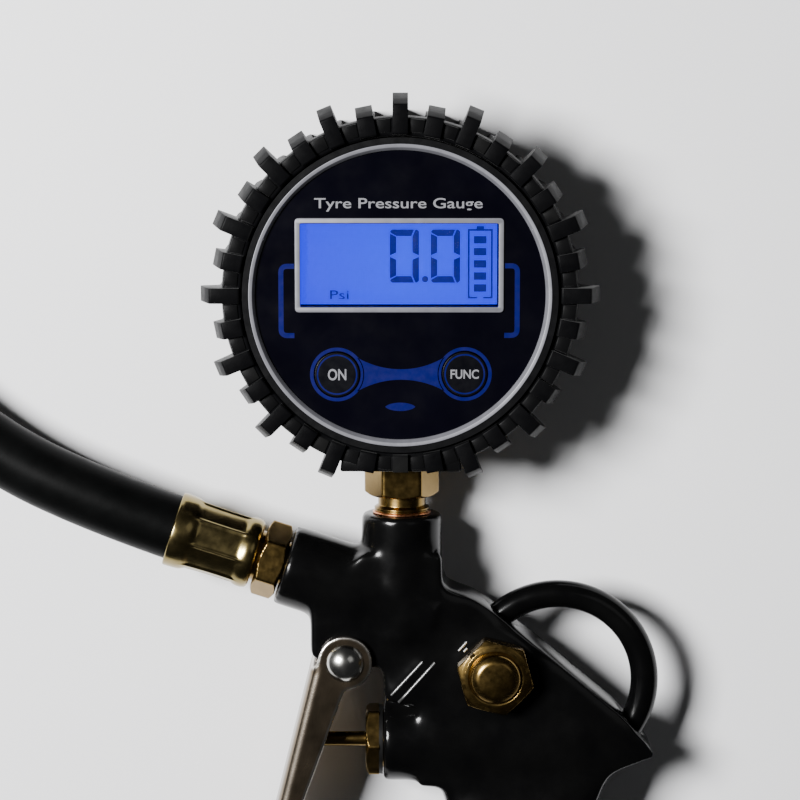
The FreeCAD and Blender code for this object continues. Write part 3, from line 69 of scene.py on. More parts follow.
MM = 0.001
FULL_TURN = 2.0 * math.pi

for leftover in list(bpy.data.objects):
    bpy.data.objects.remove(leftover)
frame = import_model()
NODES = frame["nodes"]
NODE_SLOT = {part["node"]: part["material_slot"] for part in frame["record"]["subparts"]}


def middle(node):
    low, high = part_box(node)
    return (low + high) / 2


GAUGE = middle("bezel_ring")
MID = middle("gauge_port").z


def at(x, y, z):
    return Vector((GAUGE.x + x * MM, GAUGE.y + y * MM, z * MM))


def on_gun(x, y, z=0.0):
    return Vector((GAUGE.x + x * MM, GAUGE.y + y * MM, MID + z * MM))


def stand(origin, along=(0, 0, 1), side=(1, 0, 0)):
    """Matrix that puts a piece drawn in millimetres, with Z along it, at a place in metres."""
    z = Vector(along).normalized()
    x = Vector(side)
    x = (x - z * x.dot(z)).normalized()
    turned = Matrix((x, z.cross(x), z)).transposed().to_4x4()
    placed = turned @ Matrix.Diagonal((MM, MM, MM, 1.0))
    placed.translation = origin
    return placed


GAUGE_PLACE = stand(at(0, 0, 0))


# -------------------- materials

class Finish:
    """A procedural material, built up from layers placed in the object's own space."""

    def __init__(self, name, metal=0.0, specular=0.5, sheen=0.0):
        self.material = bpy.data.materials.new(name)
        self.material.use_nodes = True
        self.tree = self.material.node_tree
        self.shader = self.tree.nodes["Principled BSDF"]
        self.fix({"Metallic": metal, "Specular IOR Level": specular, "Sheen Weight": sheen,
                  "Sheen Roughness": 0.3})
        self.space = self.tree.nodes.new("ShaderNodeTexCoord").outputs["Object"]

    def link(self, source, target):
        self.tree.links.new(source, target)

    def fix(self, values):
        """Constant values of the shader's own sockets."""
        for name, value in values.items():
            self.shader.inputs[name].default_value = value

    def noise(self, size, detail):
        """Noise whose patches are about size millimetres wide."""
        node = self.tree.nodes.new("ShaderNodeTexNoise")
        node.inputs["Scale"].default_value = 1.0 / (size * MM)
        node.inputs["Detail"].default_value = detail
        self.link(self.space, node.inputs["Vector"])
        return node.outputs["Fac"]

    def span(self, source, low, high, first, last):
        """Turns low to high of a socket into first to last."""
        node = self.tree.nodes.new("ShaderNodeMapRange")
        self.link(source, node.inputs["Value"])
        for name, value in (("From Min", low), ("From Max", high),
                            ("To Min", first), ("To Max", last)):
            node.inputs[name].default_value = value
        return node.outputs["Result"]

    def blend(self, share, first, second):
        """Mixes two colours, each a tuple or a socket."""
        node = self.tree.nodes.new("ShaderNodeMix")
        node.data_type = "RGBA"
        self.link(share, node.inputs["Factor"])
        for value, socket in ((first, node.inputs["A"]), (second, node.inputs["B"])):
            if isinstance(value, tuple):
                socket.default_value = (*value, 1.0)
            else:
                self.link(value, socket)
        return node.outputs["Result"]

    def edges(self, low, high):
        """Share of the edge colour, which is worn paint on some finishes and a painted highlight
        on others: 0 on flats, 1 on raised edges.
        """
        geometry = self.tree.nodes.new("ShaderNodeNewGeometry")
        return self.span(geometry.outputs["Pointiness"], low, high, 0.0, 1.0)

    def bumps(self, layers):
        """Stacks (height socket, depth in millimetres) into one bumpy normal."""
        normal = None
        for height, depth in layers:
            node = self.tree.nodes.new("ShaderNodeBump")
            node.inputs["Distance"].default_value = depth * MM
            self.link(height, node.inputs["Height"])
            if normal is not None:
                self.link(normal, node.inputs["Normal"])
            normal = node.outputs["Normal"]
        self.link(normal, self.shader.inputs["Normal"])


SMEAR_SHARE = 0.37  # size of the patches of roughness, as a share of the shades' patches


def general(name, color, patches, patch, rough, grain, edge_wear_and_highlight=None, edge_wear_and_highlight_from=None, fine=None,
            **fixed):
    """A surface in two shades, with uneven roughness and two depths of grain.

    patch is the size of the shades' patches. grain and fine are (size, depth). Edges
    turn to the edge colour over the span of pointiness given with it: worn paint on some
    finishes, a painted highlight on the bends of the nickel plate.
    """
    finish = Finish(name, **fixed)
    spots = finish.span(finish.noise(patch, 5.0), 0.35, 0.65, 0.0, 1.0)
    shade = finish.blend(spots, color, patches)
    if edge_wear_and_highlight is not None:
        shade = finish.blend(finish.edges(*edge_wear_and_highlight_from), shade, edge_wear_and_highlight)
    finish.link(shade, finish.shader.inputs["Base Color"])
    smears = finish.noise(patch * SMEAR_SHARE, 6.0)
    finish.link(finish.span(smears, 0.3, 0.7, *rough), finish.shader.inputs["Roughness"])
    layers = [(finish.noise(grain[0], 2.0), grain[1])]
    if fine is not None:
        layers.append((finish.noise(fine[0], 1.0), fine[1]))
    finish.bumps(layers)
    return finish.material


DISPLAY_MIDDLE = (2.0, 7.0, 27.0)
DISPLAY_REACH = 26.0


def display_material():
    """The lit display: even blue light, a little brighter in the middle."""
    finish = Finish("lit_display", specular=0.4)
    mapping = finish.tree.nodes.new("ShaderNodeMapping")
    mapping.inputs["Location"].default_value = -at(*DISPLAY_MIDDLE)
    finish.link(finish.space, mapping.inputs["Vector"])
    length = finish.tree.nodes.new("ShaderNodeVectorMath")
    length.operation = "LENGTH"
    finish.link(mapping.outputs["Vector"], length.inputs[0])
    share = finish.span(length.outputs["Value"], 0.0, DISPLAY_REACH * MM, 0.0, 1.0)
    light = finish.blend(share, (0.004, 0.020, 1.0), (0.0, 0.0, 0.84))
    cells = finish.span(finish.noise(0.5, 1.0), 0.3, 0.7, 0.0, 0.12)
    light = finish.blend(cells, light, (0.0, 0.0, 0.7))
    finish.link(light, finish.shader.inputs["Emission Color"])
    finish.fix({"Emission Strength": 1.95, "Base Color": (0.002, 0.005, 0.02, 1.0),
                "Roughness": 0.35})
    finish.bumps([(finish.noise(0.2, 1.0), 0.002)])
    return finish.material


def ink_material():
    """Dark liquid crystal strokes, through which some of the blue light comes."""
    finish = Finish("display_strokes", specular=0.3)
    share = finish.span(finish.noise(1.5, 2.0), 0.3, 0.7, 0.0, 1.0)
    light = finish.blend(share, (0.0, 0.0, 0.21), (0.001, 0.0, 0.28))
    finish.link(light, finish.shader.inputs["Emission Color"])
    finish.fix({"Emission Strength": 1.0, "Base Color": (0.001, 0.002, 0.01, 1.0),
                "Roughness": 0.4})
    return finish.material


def lens_material():
    """Clear plastic with faint smudges."""
    finish = Finish("clear_window", specular=0.5)
    finish.fix({"Transmission Weight": 1.0, "IOR": 1.45, "Base Color": (0.97, 0.98, 1.0, 1.0)})
    smudges = finish.noise(5.0, 4.0)
    finish.link(finish.span(smudges, 0.4, 0.7, 0.0, 0.05), finish.shader.inputs["Roughness"])
    return finish.material


def machined(name, color, patches, rough, patch=4.0):
    """Turned or plated bright metal."""
    return general(name, color, patches, patch, rough, (0.25, 0.0012), metal=1.0,
                   fine=(1.4, 0.0025))


def make_materials():
    """One finish for each material slot of the part."""
    return {
        "boot_rubber": general(
            "boot_rubber", (0.0011, 0.0011, 0.0014), (0.0021, 0.0021, 0.0024), 5.0,
            (0.34, 0.46), (0.35, 0.018), edge_wear_and_highlight=(0.006, 0.006, 0.006), edge_wear_and_highlight_from=(0.53, 0.66),
            fine=(2.5, 0.03), specular=0.035, sheen=0.06),
        "case_plastic": general(
            "case_plastic", (0.0015, 0.0015, 0.0018), (0.0024, 0.0024, 0.0028), 6.0,
            (0.3, 0.4), (0.3, 0.010), specular=0.15),
        "panel_black": general(
            "panel_black", (0.0007, 0.0006, 0.0020), (0.0010, 0.0009, 0.0028), 18.0,
            (0.14, 0.22), (6.0, 0.010), specular=0.35),
        "trim_silver": general(
            "trim_silver", (0.150, 0.150, 0.168), (0.125, 0.125, 0.140), 3.0, (0.42, 0.52),
            (0.2, 0.004), metal=0.35),
        "lens_clear": lens_material(),
        "display_glass": display_material(),
        "light_panel": general(
            "light_panel", (0.30, 0.45, 0.95), (0.36, 0.50, 1.0), 4.0, (0.3, 0.4), (0.4, 0.006)),
        "key_black": general(
            "key_black", (0.0007, 0.0007, 0.0018), (0.0012, 0.0012, 0.0026), 5.0,
            (0.30, 0.40), (1.5, 0.006), specular=0.12),
        "print_blue": general(
            "print_blue", (0.0016, 0.0019, 0.058), (0.0021, 0.0025, 0.068), 4.0, (0.3, 0.42),
            (0.4, 0.004), specular=0.15),
        "print_white": general(
            "print_white", (0.145, 0.145, 0.157), (0.17, 0.17, 0.185), 2.0, (0.4, 0.5),
            (0.3, 0.004), specular=0.2),
        "black_enamel": general(
            "black_enamel", (0.0013, 0.0013, 0.0014), (0.0022, 0.0022, 0.0022), 9.0,
            (0.15, 0.22), (3.5, 0.010), edge_wear_and_highlight=(0.006, 0.006, 0.0055), edge_wear_and_highlight_from=(0.60, 0.75),
            fine=(0.5, 0.0015), specular=0.2),
        "brass": machined(
            "brass", (0.235, 0.155, 0.050), (0.20, 0.130, 0.040), (0.19, 0.27)),
        "gold_plate": machined(
            "gold_plate", (0.31, 0.245, 0.105), (0.26, 0.205, 0.085), (0.17, 0.25), patch=6.0),
        "copper": machined("copper", (0.70, 0.30, 0.14), (0.55, 0.22, 0.10), (0.2, 0.35)),
        # Nickel plate of the levers: its pale edge colour is a painted highlight along the bends,
        # and its brown tint is a painted reflection of dim brown surroundings.
        "nickel_plate": general(
            "nickel_plate", (0.19, 0.148, 0.100), (0.165, 0.128, 0.087), 14.0, (0.225, 0.275),
            (0.32, 0.014), metal=1.0, fine=(1.2, 0.0015), edge_wear_and_highlight=(0.78, 0.74, 0.68),
            edge_wear_and_highlight_from=(0.504, 0.535)),
        "steel": general(
            "steel", (0.45, 0.45, 0.46), (0.36, 0.36, 0.37), 3.0, (0.28, 0.4), (0.2, 0.004),
            metal=1.0),
        "board_green": general(
            "board_green", (0.02, 0.12, 0.05), (0.03, 0.16, 0.07), 5.0, (0.3, 0.4), (0.6, 0.01)),
        "battery_sleeve": general(
            "battery_sleeve", (0.03, 0.03, 0.04), (0.05, 0.05, 0.06), 8.0, (0.2, 0.3),
            (1.0, 0.006)),
        "seal_rubber": general(
            "seal_rubber", (0.003, 0.003, 0.003), (0.005, 0.005, 0.005), 2.0, (0.4, 0.5),
            (0.3, 0.01), specular=0.15),
        "hose_rubber": general(
            "hose_rubber", (0.0009, 0.0010, 0.0010), (0.0018, 0.0019, 0.0019), 11.0,
            (0.36, 0.46), (0.6, 0.010), fine=(4.0, 0.02), specular=0.04, sheen=0.02),
    }


MATERIALS = make_materials()
POLISHED = general("polished_nickel", (0.65, 0.64, 0.60), (0.58, 0.57, 0.53), 6.0, (0.17, 0.22),
                   (0.8, 0.004), metal=1.0)
# The ridge strokes' enamel is painted lighter than the casting's, a painted highlight along the
# ridges, and reflects strongly.
RIDGE_HIGHLIGHT = general("ridge_highlight_enamel", (0.02, 0.02, 0.02), (0.05, 0.05, 0.05), 1.5, (0.24, 0.32),
                 (0.4, 0.002), specular=1.0)
STROKES = ink_material()


# -------------------- pieces and mesh code

WELD_GAP = 0.002
ON_AXIS = 1e-6
BEVELLED_FROM = math.radians(25.0)
EDGE_SHARE = 0.49  # the most of an edge that the rounding of one corner takes
MITRE_LIMIT = 0.4
HEX_SEGMENTS = 192
HEX_CORNER = 0.988  # where a hexagon's corners are eased, as a share of their radius
CORNER_BLEND = 0.16
CHAMFER_SLOPE = 1.75
CHAMFER_BLEND = 0.12


def finished(name, mesh, slot, body, hides=(), sharp=32.0, material=None):
    """Makes a mesh in the frame's metres into a shown piece that stands for CAD nodes."""
    mesh.shade_smooth()
    mesh.set_sharp_from_angle(angle=math.radians(sharp))
    mesh.materials.clear()
    mesh.materials.append(material or MATERIALS[slot])
    piece = bpy.data.objects.new(name, mesh)
    bpy.context.scene.collection.objects.link(piece)
    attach(piece, body)
    if hides:
        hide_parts(*hides)
    return piece


def as_mesh(name, place, parts, weld):
    """One mesh from several (points, faces) drawn in millimetres."""
    points, faces = [], []
    for part_points, part_faces in parts:
        offset = len(points)
        points.extend(place @ Vector(point) for point in part_points)
        faces.extend([index + offset for index in face] for face in part_faces)
    mesh = bpy.data.meshes.new(name)
    mesh.from_pydata(points, [], faces)
    work = bmesh.new()
    work.from_mesh(mesh)
    if weld:
        bmesh.ops.remove_doubles(work, verts=work.verts, dist=WELD_GAP * MM)
    bmesh.ops.recalc_face_normals(work, faces=work.faces)
    work.to_mesh(mesh)
    work.free()
    return mesh


def drawn(name, place, parts, slot, body, hides=(), weld=True, **look):
    """A shown piece from parts drawn in millimetres at a place."""
    return finished(name, as_mesh(name, place, parts, weld), slot, body, hides, **look)


def moved(part, matrix):
    return [tuple(matrix @ Vector(point)) for point in part[0]], part[1]


def rounded(corners, steps=4):
    """A 2D outline through (x, y, rounding) corners; the ends of an open one stay sharp."""
    spots = [(Vector((c[0], c[1])), c[2] if len(c) > 2 else 0.0) for c in corners]
    line = []
    for index, (spot, rounding) in enumerate(spots):
        if rounding <= 0.0:
            line.append(tuple(spot))
            continue
        before, after = spots[index - 1][0], spots[(index + 1) % len(spots)][0]
        back, ahead = before - spot, after - spot
        half = back.angle(ahead) / 2
        reach = min(rounding / math.tan(half), back.length * EDGE_SHARE,
                    ahead.length * EDGE_SHARE)
        first, last = spot + back.normalized() * reach, spot + ahead.normalized() * reach
        for step in range(steps + 1):
            t = step / steps
            line.append(tuple(first * (1 - t) ** 2 + spot * 2 * t * (1 - t) + last * t * t))
    return line


def turned(line, segments=96, shape=None, closed=False):
    """Turns a line of (radius, height) round Z; shape(angle, radius, height) gives the radius."""
    points, faces, rings = [], [], []
    for radius, height in line:
        if radius < ON_AXIS:
            rings.append([len(points)])
            points.append((0.0, 0.0, height))
            continue
        rings.append(list(range(len(points), len(points) + segments)))
        for index in range(segments):
            angle = FULL_TURN * index / segments
            r = shape(angle, radius, height) if shape else radius
            points.append((r * math.cos(angle), r * math.sin(angle), height))
    pairs = list(zip(rings, rings[1:]))
    if closed:
        pairs.append((rings[-1], rings[0]))
    for low, high in pairs:
        for index in range(segments):
            other = (index + 1) % segments
            if len(low) == 1:
                faces.append((low[0], high[other], high[index]))
            elif len(high) == 1:
                faces.append((low[index], low[other], high[0]))
            else:
                faces.append((low[index], low[other], high[other], high[index]))
    return points, faces


def softest(a, b, blend):
    """The smaller of two radii, with the crossing rounded."""
    h = max(blend - abs(a - b), 0.0) / blend
    return min(a, b) - h * h * blend / 4.0


def hex_rows(low, high):
    """Heights along a hexagon, close together at its chamfered ends."""
    depth = min(1.0, (high - low) / 2.2)
    near = [depth * t for t in (0.0, 0.04, 0.1, 0.18, 0.28, 0.4, 0.55, 0.7, 0.85, 1.0)]
    return sorted([low + t for t in near] + [high - t for t in near])


def hex_block(low, high, flats, turn, bore, face=0.965, ends=(True, True)):
    """A machined hexagon: flat sides, a chamfer cone at its ends and a bore through it.

    face is the chamfer's radius at an end, as a share of half the width across flats.
    """
    side, step = flats / 2.0, math.radians(60.0)
    corner = side / math.cos(step / 2.0)

    def shape(angle, radius, height):
        if radius < side:
            return radius
        across = side / math.cos((angle - math.radians(turn)) % step - step / 2.0)
        across = softest(across, corner * HEX_CORNER, CORNER_BLEND)
        for is_eased, gap in zip(ends, (height - low, high - height)):
            if is_eased:
                across = softest(across, side * face + gap * CHAMFER_SLOPE, CHAMFER_BLEND)
        return across

    line = [(bore, low)] + [(side, height) for height in hex_rows(low, high)] + [(bore, high)]
    return turned(line, HEX_SEGMENTS, shape, closed=True)


def prism(outline, low, high, bevel=0.0, segments=2):
    """A straight-sided block over a closed 2D outline, with bevelled edges."""
    work = bmesh.new()
    face = work.faces.new([work.verts.new((x, y, low)) for x, y in outline])
    grown = bmesh.ops.extrude_face_region(work, geom=[face])
    top = [item for item in grown["geom"] if isinstance(item, bmesh.types.BMVert)]
    bmesh.ops.translate(work, verts=top, vec=(0.0, 0.0, high - low))
    if bevel > 0:
        edges = [e for e in work.edges if len(e.link_faces) == 2
                 and e.calc_face_angle() > BEVELLED_FROM]
        bmesh.ops.bevel(work, geom=edges, offset=bevel, segments=segments, profile=0.5,
                        affect="EDGES", clamp_overlap=True)
    bmesh.ops.recalc_face_normals(work, faces=work.faces)
    work.verts.index_update()
    part = [tuple(v.co) for v in work.verts], [[v.index for v in f.verts] for f in work.faces]
    work.free()
    return part


def from_curve(curve):
    """(points, faces) of a filled 2D curve or text, in the curve's own units."""
    holder = bpy.data.objects.new(curve.name, curve)
    bpy.context.scene.collection.objects.link(holder)
    graph = bpy.context.evaluated_depsgraph_get()
    graph.update()
    mesh = bpy.data.meshes.new_from_object(holder.evaluated_get(graph))
    part = [tuple(v.co) for v in mesh.vertices], [list(p.vertices) for p in mesh.polygons]
    bpy.data.objects.remove(holder)
    bpy.data.meshes.remove(mesh)
    return part


def plate(outlines, low, high, edge=0.0):
    """A flat plate over 2D outlines, of which the inner ones are holes."""
    curve = bpy.data.curves.new("plate", "CURVE")
    curve.dimensions = "2D"
    curve.fill_mode = "BOTH"
    curve.extrude = (high - low) / 2 - edge
    curve.bevel_depth = edge
    curve.bevel_resolution = 2
    curve.offset = -edge
    for outline in outlines:
        spline = curve.splines.new("POLY")
        spline.points.add(len(outline) - 1)
        for point, (x, y) in zip(spline.points, outline):
            point.co = (x, y, 0.0, 1.0)
        spline.use_cyclic_u = True
    return moved(from_curve(curve), Matrix.Translation((0.0, 0.0, (low + high) / 2)))


def lettering(text, left, right, low, high, bottom, top, weight):
    """Text fitted to a box, as a thin plate."""
    curve = bpy.data.curves.new("lettering", "FONT")
    curve.body = text
    curve.extrude = (top - bottom) / 2
    curve.offset = weight
    curve.resolution_u = 6
    points, faces = from_curve(curve)
    xs, ys = [p[0] for p in points], [p[1] for p in points]
    wide = (right - left) / (max(xs) - min(xs))
    tall = (high - low) / (max(ys) - min(ys))
    points = [(left + (x - min(xs)) * wide, low + (y - min(ys)) * tall, z + (top + bottom) / 2)
              for x, y, z in points]
    return points, faces


def box_outline(left, right, low, high, rounding=0.0):
    """The four corners of a box, each rounded in five steps if there is a rounding."""
    corners = [(left, low), (right, low), (right, high), (left, high)]
    return rounded([(x, y, rounding) for x, y in corners], 5)


def circle_outline(x, y, radius, count=96):
    return [(x + radius * math.cos(FULL_TURN * i / count),
             y + radius * math.sin(FULL_TURN * i / count)) for i in range(count)]


def tube(path, radius, sides=12):
    """A round wire along a list of points, closed at both ends."""
    spots = [Vector(spot) for spot in path]
    points, faces = [], []
    normal = None
    for index, spot in enumerate(spots):
        run = (spots[min(index + 1, len(spots) - 1)] - spots[max(index - 1, 0)]).normalized()
        if normal is None:
            normal = run.orthogonal().normalized()
        normal = (normal - run * normal.dot(run)).normalized()
        across = run.cross(normal)
        for side in range(sides):
            angle = FULL_TURN * side / sides
            ring = normal * math.cos(angle) + across * math.sin(angle)
            points.append(tuple(spot + ring * radius))
    for index in range(len(spots) - 1):
        low, high = index * sides, (index + 1) * sides
        for side in range(sides):
            other = (side + 1) % sides
            faces.append((low + side, low + other, high + other, high + side))
    faces.append(list(range(sides)))
    faces.append(list(range(len(points) - sides, len(points))))
    return points, faces


def helix(radius, wire, low, high, turns):
    """A coil spring along Z, which rises half as far in its first and its last turn."""
    path, steps = [], 28
    for index in range(steps * turns + 1):
        t = index / steps
        rise = t - 0.5 * min(t, 1.0) ** 2 - 0.5 + 0.5 * min(turns - t, 1.0) ** 2
        height = low + wire + (high - low - 2 * wire) * rise / (turns - 1)
        angle = FULL_TURN * t
        path.append((radius * math.cos(angle), radius * math.sin(angle), height))
    return tube(path, wire)


# -------------------- rounding of cast pieces

# Shares of the way to its neighbours' mean that a point goes in one pass: along its normal,
# in every fourth pass freely, and in the softening passes.
PUSH = 0.8
SETTLE = 0.2
SOFTEN = 0.5
SETTLE_EVERY = 4


def quad_normals(points, quads):
    """Unit normals at the points, from the quads around each."""
    a, b, c, d = (points[quads[:, k]] for k in range(4))
    facing = np.cross(c - a, d - b)
    total = np.stack([sum(np.bincount(quads[:, k], weights=facing[:, axis],
                                      minlength=len(points)) for k in range(4))
                      for axis in range(3)], axis=1)
    return total / np.maximum(np.linalg.norm(total, axis=1), 1e-12)[:, None]


def neighbour_mean(points, first, second):
    """For each point, the mean of its neighbours along the edges first to second."""
    count = np.bincount(first, minlength=len(points)) + np.bincount(
        second, minlength=len(points))
    total = np.stack([
        np.bincount(first, weights=points[second, axis], minlength=len(points))
        + np.bincount(second, weights=points[first, axis], minlength=len(points))
        for axis in range(3)], axis=1)
    return total / count[:, None]


def cast_copy(node, voxel, fill, soften, extra=0, zones=None, shape=None):
    """A CAD node's mesh with cast corners: inner ones filled, outer ones eased.

    voxel is the mesh's fineness. fill and soften count passes. In the extra passes
    zones(points) gives the share of more filling and the share of more rounding at each
    point. shape(points) moves the points before the first pass.
    """
    work = bpy.data.objects.new("cast_work", NODES[node].data.copy())
    bpy.context.scene.collection.objects.link(work)
    weld = work.modifiers.new("weld", "WELD")
    weld.merge_threshold = 0.001 * MM
    remesh = work.modifiers.new("remesh", "REMESH")
    remesh.mode = "VOXEL"
    remesh.voxel_size = voxel * MM
    wrap = work.modifiers.new("wrap", "SHRINKWRAP")
    wrap.target = NODES[node]
    wrap.wrap_method = "NEAREST_SURFACEPOINT"
    graph = bpy.context.evaluated_depsgraph_get()
    graph.update()
    mesh = bpy.data.meshes.new_from_object(work.evaluated_get(graph))
    bpy.data.objects.remove(work)
    points = np.zeros(len(mesh.vertices) * 3, np.float32)
    mesh.vertices.foreach_get("co", points)
    points = points.reshape(-1, 3).astype(float)
    if shape:
        points = shape(points)
    quads = np.array([list(p.vertices) for p in mesh.polygons if len(p.vertices) == 4])
    first = quads.ravel()
    second = np.roll(quads, -1, axis=1).ravel()
    fill_share, round_share = zones(points) if zones else (0.0, 0.0)
    for step in range(fill + extra):
        pull = neighbour_mean(points, first, second) - points
        facing = quad_normals(points, quads)
        along = (pull * facing).sum(1)
        filled = 1.0 if step < fill else fill_share
        eased = 0.0 if step < fill else round_share
        move = filled * np.clip(along, 0.0, None) + eased * np.clip(along, None, 0.0)
        points += PUSH * move[:, None] * facing
        if (step + 1) % SETTLE_EVERY == 0:
            points += SETTLE * (neighbour_mean(points, first, second) - points)
    for step in range(soften):
        points += SOFTEN * (neighbour_mean(points, first, second) - points)
    mesh.vertices.foreach_set("co", points.astype(np.float32).ravel())
    mesh.update()
    return mesh


# -------------------- camera, hose, floor, light

CAMERA_TILT = math.radians(8.048)
CAMERA_SPOT = (-0.06, 62.76, 628.1)
CAMERA_LENS = 130.5
CAMERA_SENSOR = 36.0
FLOOR_HALF = 4.0  # metres
FLOOR_DROP = 0.00005  # metres
AMBIENT = 0.022
LIGHT_TARGET = (0.0, -20.0, 0.0)
LIGHTS = (  # offset from the target and size in metres, and power in watts
    ("key", (-0.50, 0.18, 0.72), 0.27, 27.0),
    ("fill", (0.55, 0.35, 1.0), 0.5, 0.3),
)
HOSE_ROUTE = (
    (-32.53, -57.23, 14.0), (-60.5, -48.14, 14.0), (-92.0, -33.5, 10.6), (-116.3, -8.3, 7.4),
    (-129.0, 26.5, 7.0), (-126.3, 64.4, 7.0), (-108.5, 98.0, 7.0), (-79.7, 121.3, 7.0),
    (-46.2, 131.5, 8.2), (-16.2, 130.4, 8.2),
)
HOSE_RADIUS = 7.0


def make_camera():
    """Above the gauge's far side, looking down and a little towards the gun."""
    data = bpy.data.cameras.new("camera")
    data.lens = CAMERA_LENS
    data.sensor_width = CAMERA_SENSOR
    camera = bpy.data.objects.new("camera", data)
    camera.location = at(*CAMERA_SPOT)
    camera.rotation_euler = (-CAMERA_TILT, 0.0, 0.0)
    bpy.context.scene.collection.objects.link(camera)
    bpy.context.scene.camera = camera


def make_hose():
    """The rubber hose along the route."""
    curve = bpy.data.curves.new("hose_tube", "CURVE")
    curve.dimensions = "3D"
    curve.bevel_depth = HOSE_RADIUS * MM
    curve.bevel_resolution = 12
    curve.resolution_u = 24
    curve.use_fill_caps = True
    spline = curve.splines.new("NURBS")
    spline.points.add(len(HOSE_ROUTE) - 1)
    for point, spot in zip(spline.points, HOSE_ROUTE):
        point.co = (*at(*spot), 1.0)
    spline.order_u = 3
    spline.use_endpoint_u = True
    curve.materials.append(MATERIALS["hose_rubber"])
    hose = bpy.data.objects.new("hose_tube", curve)
    bpy.context.scene.collection.objects.link(hose)
    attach(hose, "gun")
    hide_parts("hose")
    return hose


def area_light(name, offset, size, power):
    """A square light that looks at the target from an offset in metres."""
    data = bpy.data.lights.new(name, "AREA")
    data.shape = "RECTANGLE"
    data.size = data.size_y = size
    data.energy = power
    light = bpy.data.objects.new(name, data)
    light.location = at(*LIGHT_TARGET) + Vector(offset)
    light.rotation_euler = (-Vector(offset)).to_track_quat("-Z", "Y").to_euler()
    bpy.context.scene.collection.objects.link(light)


def make_stage():
    """A plain pale floor, dim even light, and the two lamps."""
    mesh = bpy.data.meshes.new("floor")
    corners = box_outline(-FLOOR_HALF, FLOOR_HALF, -FLOOR_HALF, FLOOR_HALF)
    mesh.from_pydata([(x, y, 0.0) for x, y in corners], [], [(0, 1, 2, 3)])
    mesh.materials.append(general(
        "pale_floor", (0.80, 0.80, 0.81), (0.77, 0.77, 0.785), 160.0, (0.5, 0.6), (3.0, 0.01)))
    floor = bpy.data.objects.new("floor", mesh)
    bpy.context.scene.collection.objects.link(floor)
    floor.location.z = -FLOOR_DROP
    world = bpy.data.worlds.new("studio")
    bpy.context.scene.world = world
    world.use_nodes = True
    background = world.node_tree.nodes["Background"]
    background.inputs["Color"].default_value = (0.86, 0.88, 0.92, 1.0)
    background.inputs["Strength"].default_value = AMBIENT
    for light in LIGHTS:
        area_light(*light)


# -------------------- the gauge

BOOT_BORE = 33.0
BOOT_WALL = 37.2
WALL_TOP = 29.8
BOOT_TOP = 31.0
TOOTH_COUNT = 16
TOOTH_RIB = 37.8
LONG_TOOTH = (3.2, 39.6, 41.9)
SHORT_TOOTH = (3.55, 37.6, 39.7)
LONG_STUB = 36.95
SHORT_STUB = 37.6
PORT_SIDE = 270.0
FLAT_Y = -37.0
PANEL_TOP = 29.6
GLASS_TOP = 27.4
KEY_TOP = 29.9
PRINT = 0.03
RAISED = 0.06
KEYS = {  # middle of the key, its word, and half the word's width and height
    "on": (-13.15, -16.5, "ON", 1.92, 1.2),
    "func": (13.4, -16.4, "FUNC", 2.95, 0.98),
}


def tooth(angle, width, face, crown, reach):
    """One tread tooth at the front of the boot, with a low rib behind it.

    face and crown are its outer radius at the front and at its thick end. Nothing of it
    goes past reach, which cuts the teeth beside the port down to stubs.
    """
    swell = crown - face
    side = rounded([
        (33.9, 0.4), (TOOTH_RIB - 0.5, 0.0, 0.4), (TOOTH_RIB, 14.0), (TOOTH_RIB, 22.6, 1.0),
        (crown, 24.0, 0.7), (crown - swell * 0.55, 28.2, 2.0), (face, BOOT_TOP, 0.55),
        (33.35, BOOT_TOP, 0.5), (33.35, 27.0), (34.2, 20.0),
    ], 3)
    side = [(min(r, reach), z) for r, z in side]
    part = prism(side, -width / 2, width / 2, 0.3, 3)
    upright = Matrix(((1, 0, 0, 0), (0, 0, -1, 0), (0, 1, 0, 0), (0, 0, 0, 1)))
    return moved(part, Matrix.Rotation(math.radians(angle), 4, "Z") @ upright)


def make_boot():
    """The wall, the back with its opening, the teeth, the pads between them, the flat."""
    parts = [turned(rounded([
        (BOOT_BORE, 2.4), (BOOT_BORE, WALL_TOP, 0.5), (BOOT_WALL - 0.4, WALL_TOP, 0.9),
        (BOOT_WALL, WALL_TOP - 2.5), (BOOT_WALL - 1.5, 1.0, 0.9), (BOOT_WALL - 2.2, 0.0),
        (BOOT_BORE - 0.8, 0.0), (BOOT_BORE - 0.8, 2.4),
    ]), 256, closed=True)]
    parts.append(plate([circle_outline(0, 0, BOOT_WALL - 2.4, 128),
                        box_outline(-26.5, 26.5, -15.5, 17.5, 3.0)], 0.02, 2.45, 0.2))
    pitch = 360.0 / TOOTH_COUNT
    for index in range(TOOTH_COUNT):
        long_at, short_at = 90.0 + index * pitch, 90.0 + (index + 0.5) * pitch
        reach = LONG_STUB if long_at % 360.0 == PORT_SIDE else math.inf
        parts.append(tooth(long_at, *LONG_TOOTH, reach))
        beside_port = abs(short_at % 360.0 - PORT_SIDE) < pitch
        reach = SHORT_STUB if beside_port else math.inf
        parts.append(tooth(short_at, *SHORT_TOOTH, reach))
    for index in range(TOOTH_COUNT * 2):
        start = 90.0 + index * pitch / 2
        pad = [(33.9, start + 3.3), (36.7, start + 3.1), (36.7, start + 8.1),
               (33.9, start + 7.95)]
        spots = [(r * math.cos(math.radians(a)), r * math.sin(math.radians(a))) for r, a in pad]
        parts.append(prism(spots, WALL_TOP - 1.0, WALL_TOP + 0.28, 0.2))
    parts.append(prism([(-12.6, FLAT_Y), (12.8, FLAT_Y), (12.4, -33.6), (-12.2, -33.6)],
                       1.0, WALL_TOP + 0.1, 0.5))
    drawn("tread_boot", GAUGE_PLACE, parts, "boot_rubber", "gun", ["gauge_boot"], weld=False,
          sharp=38.0)


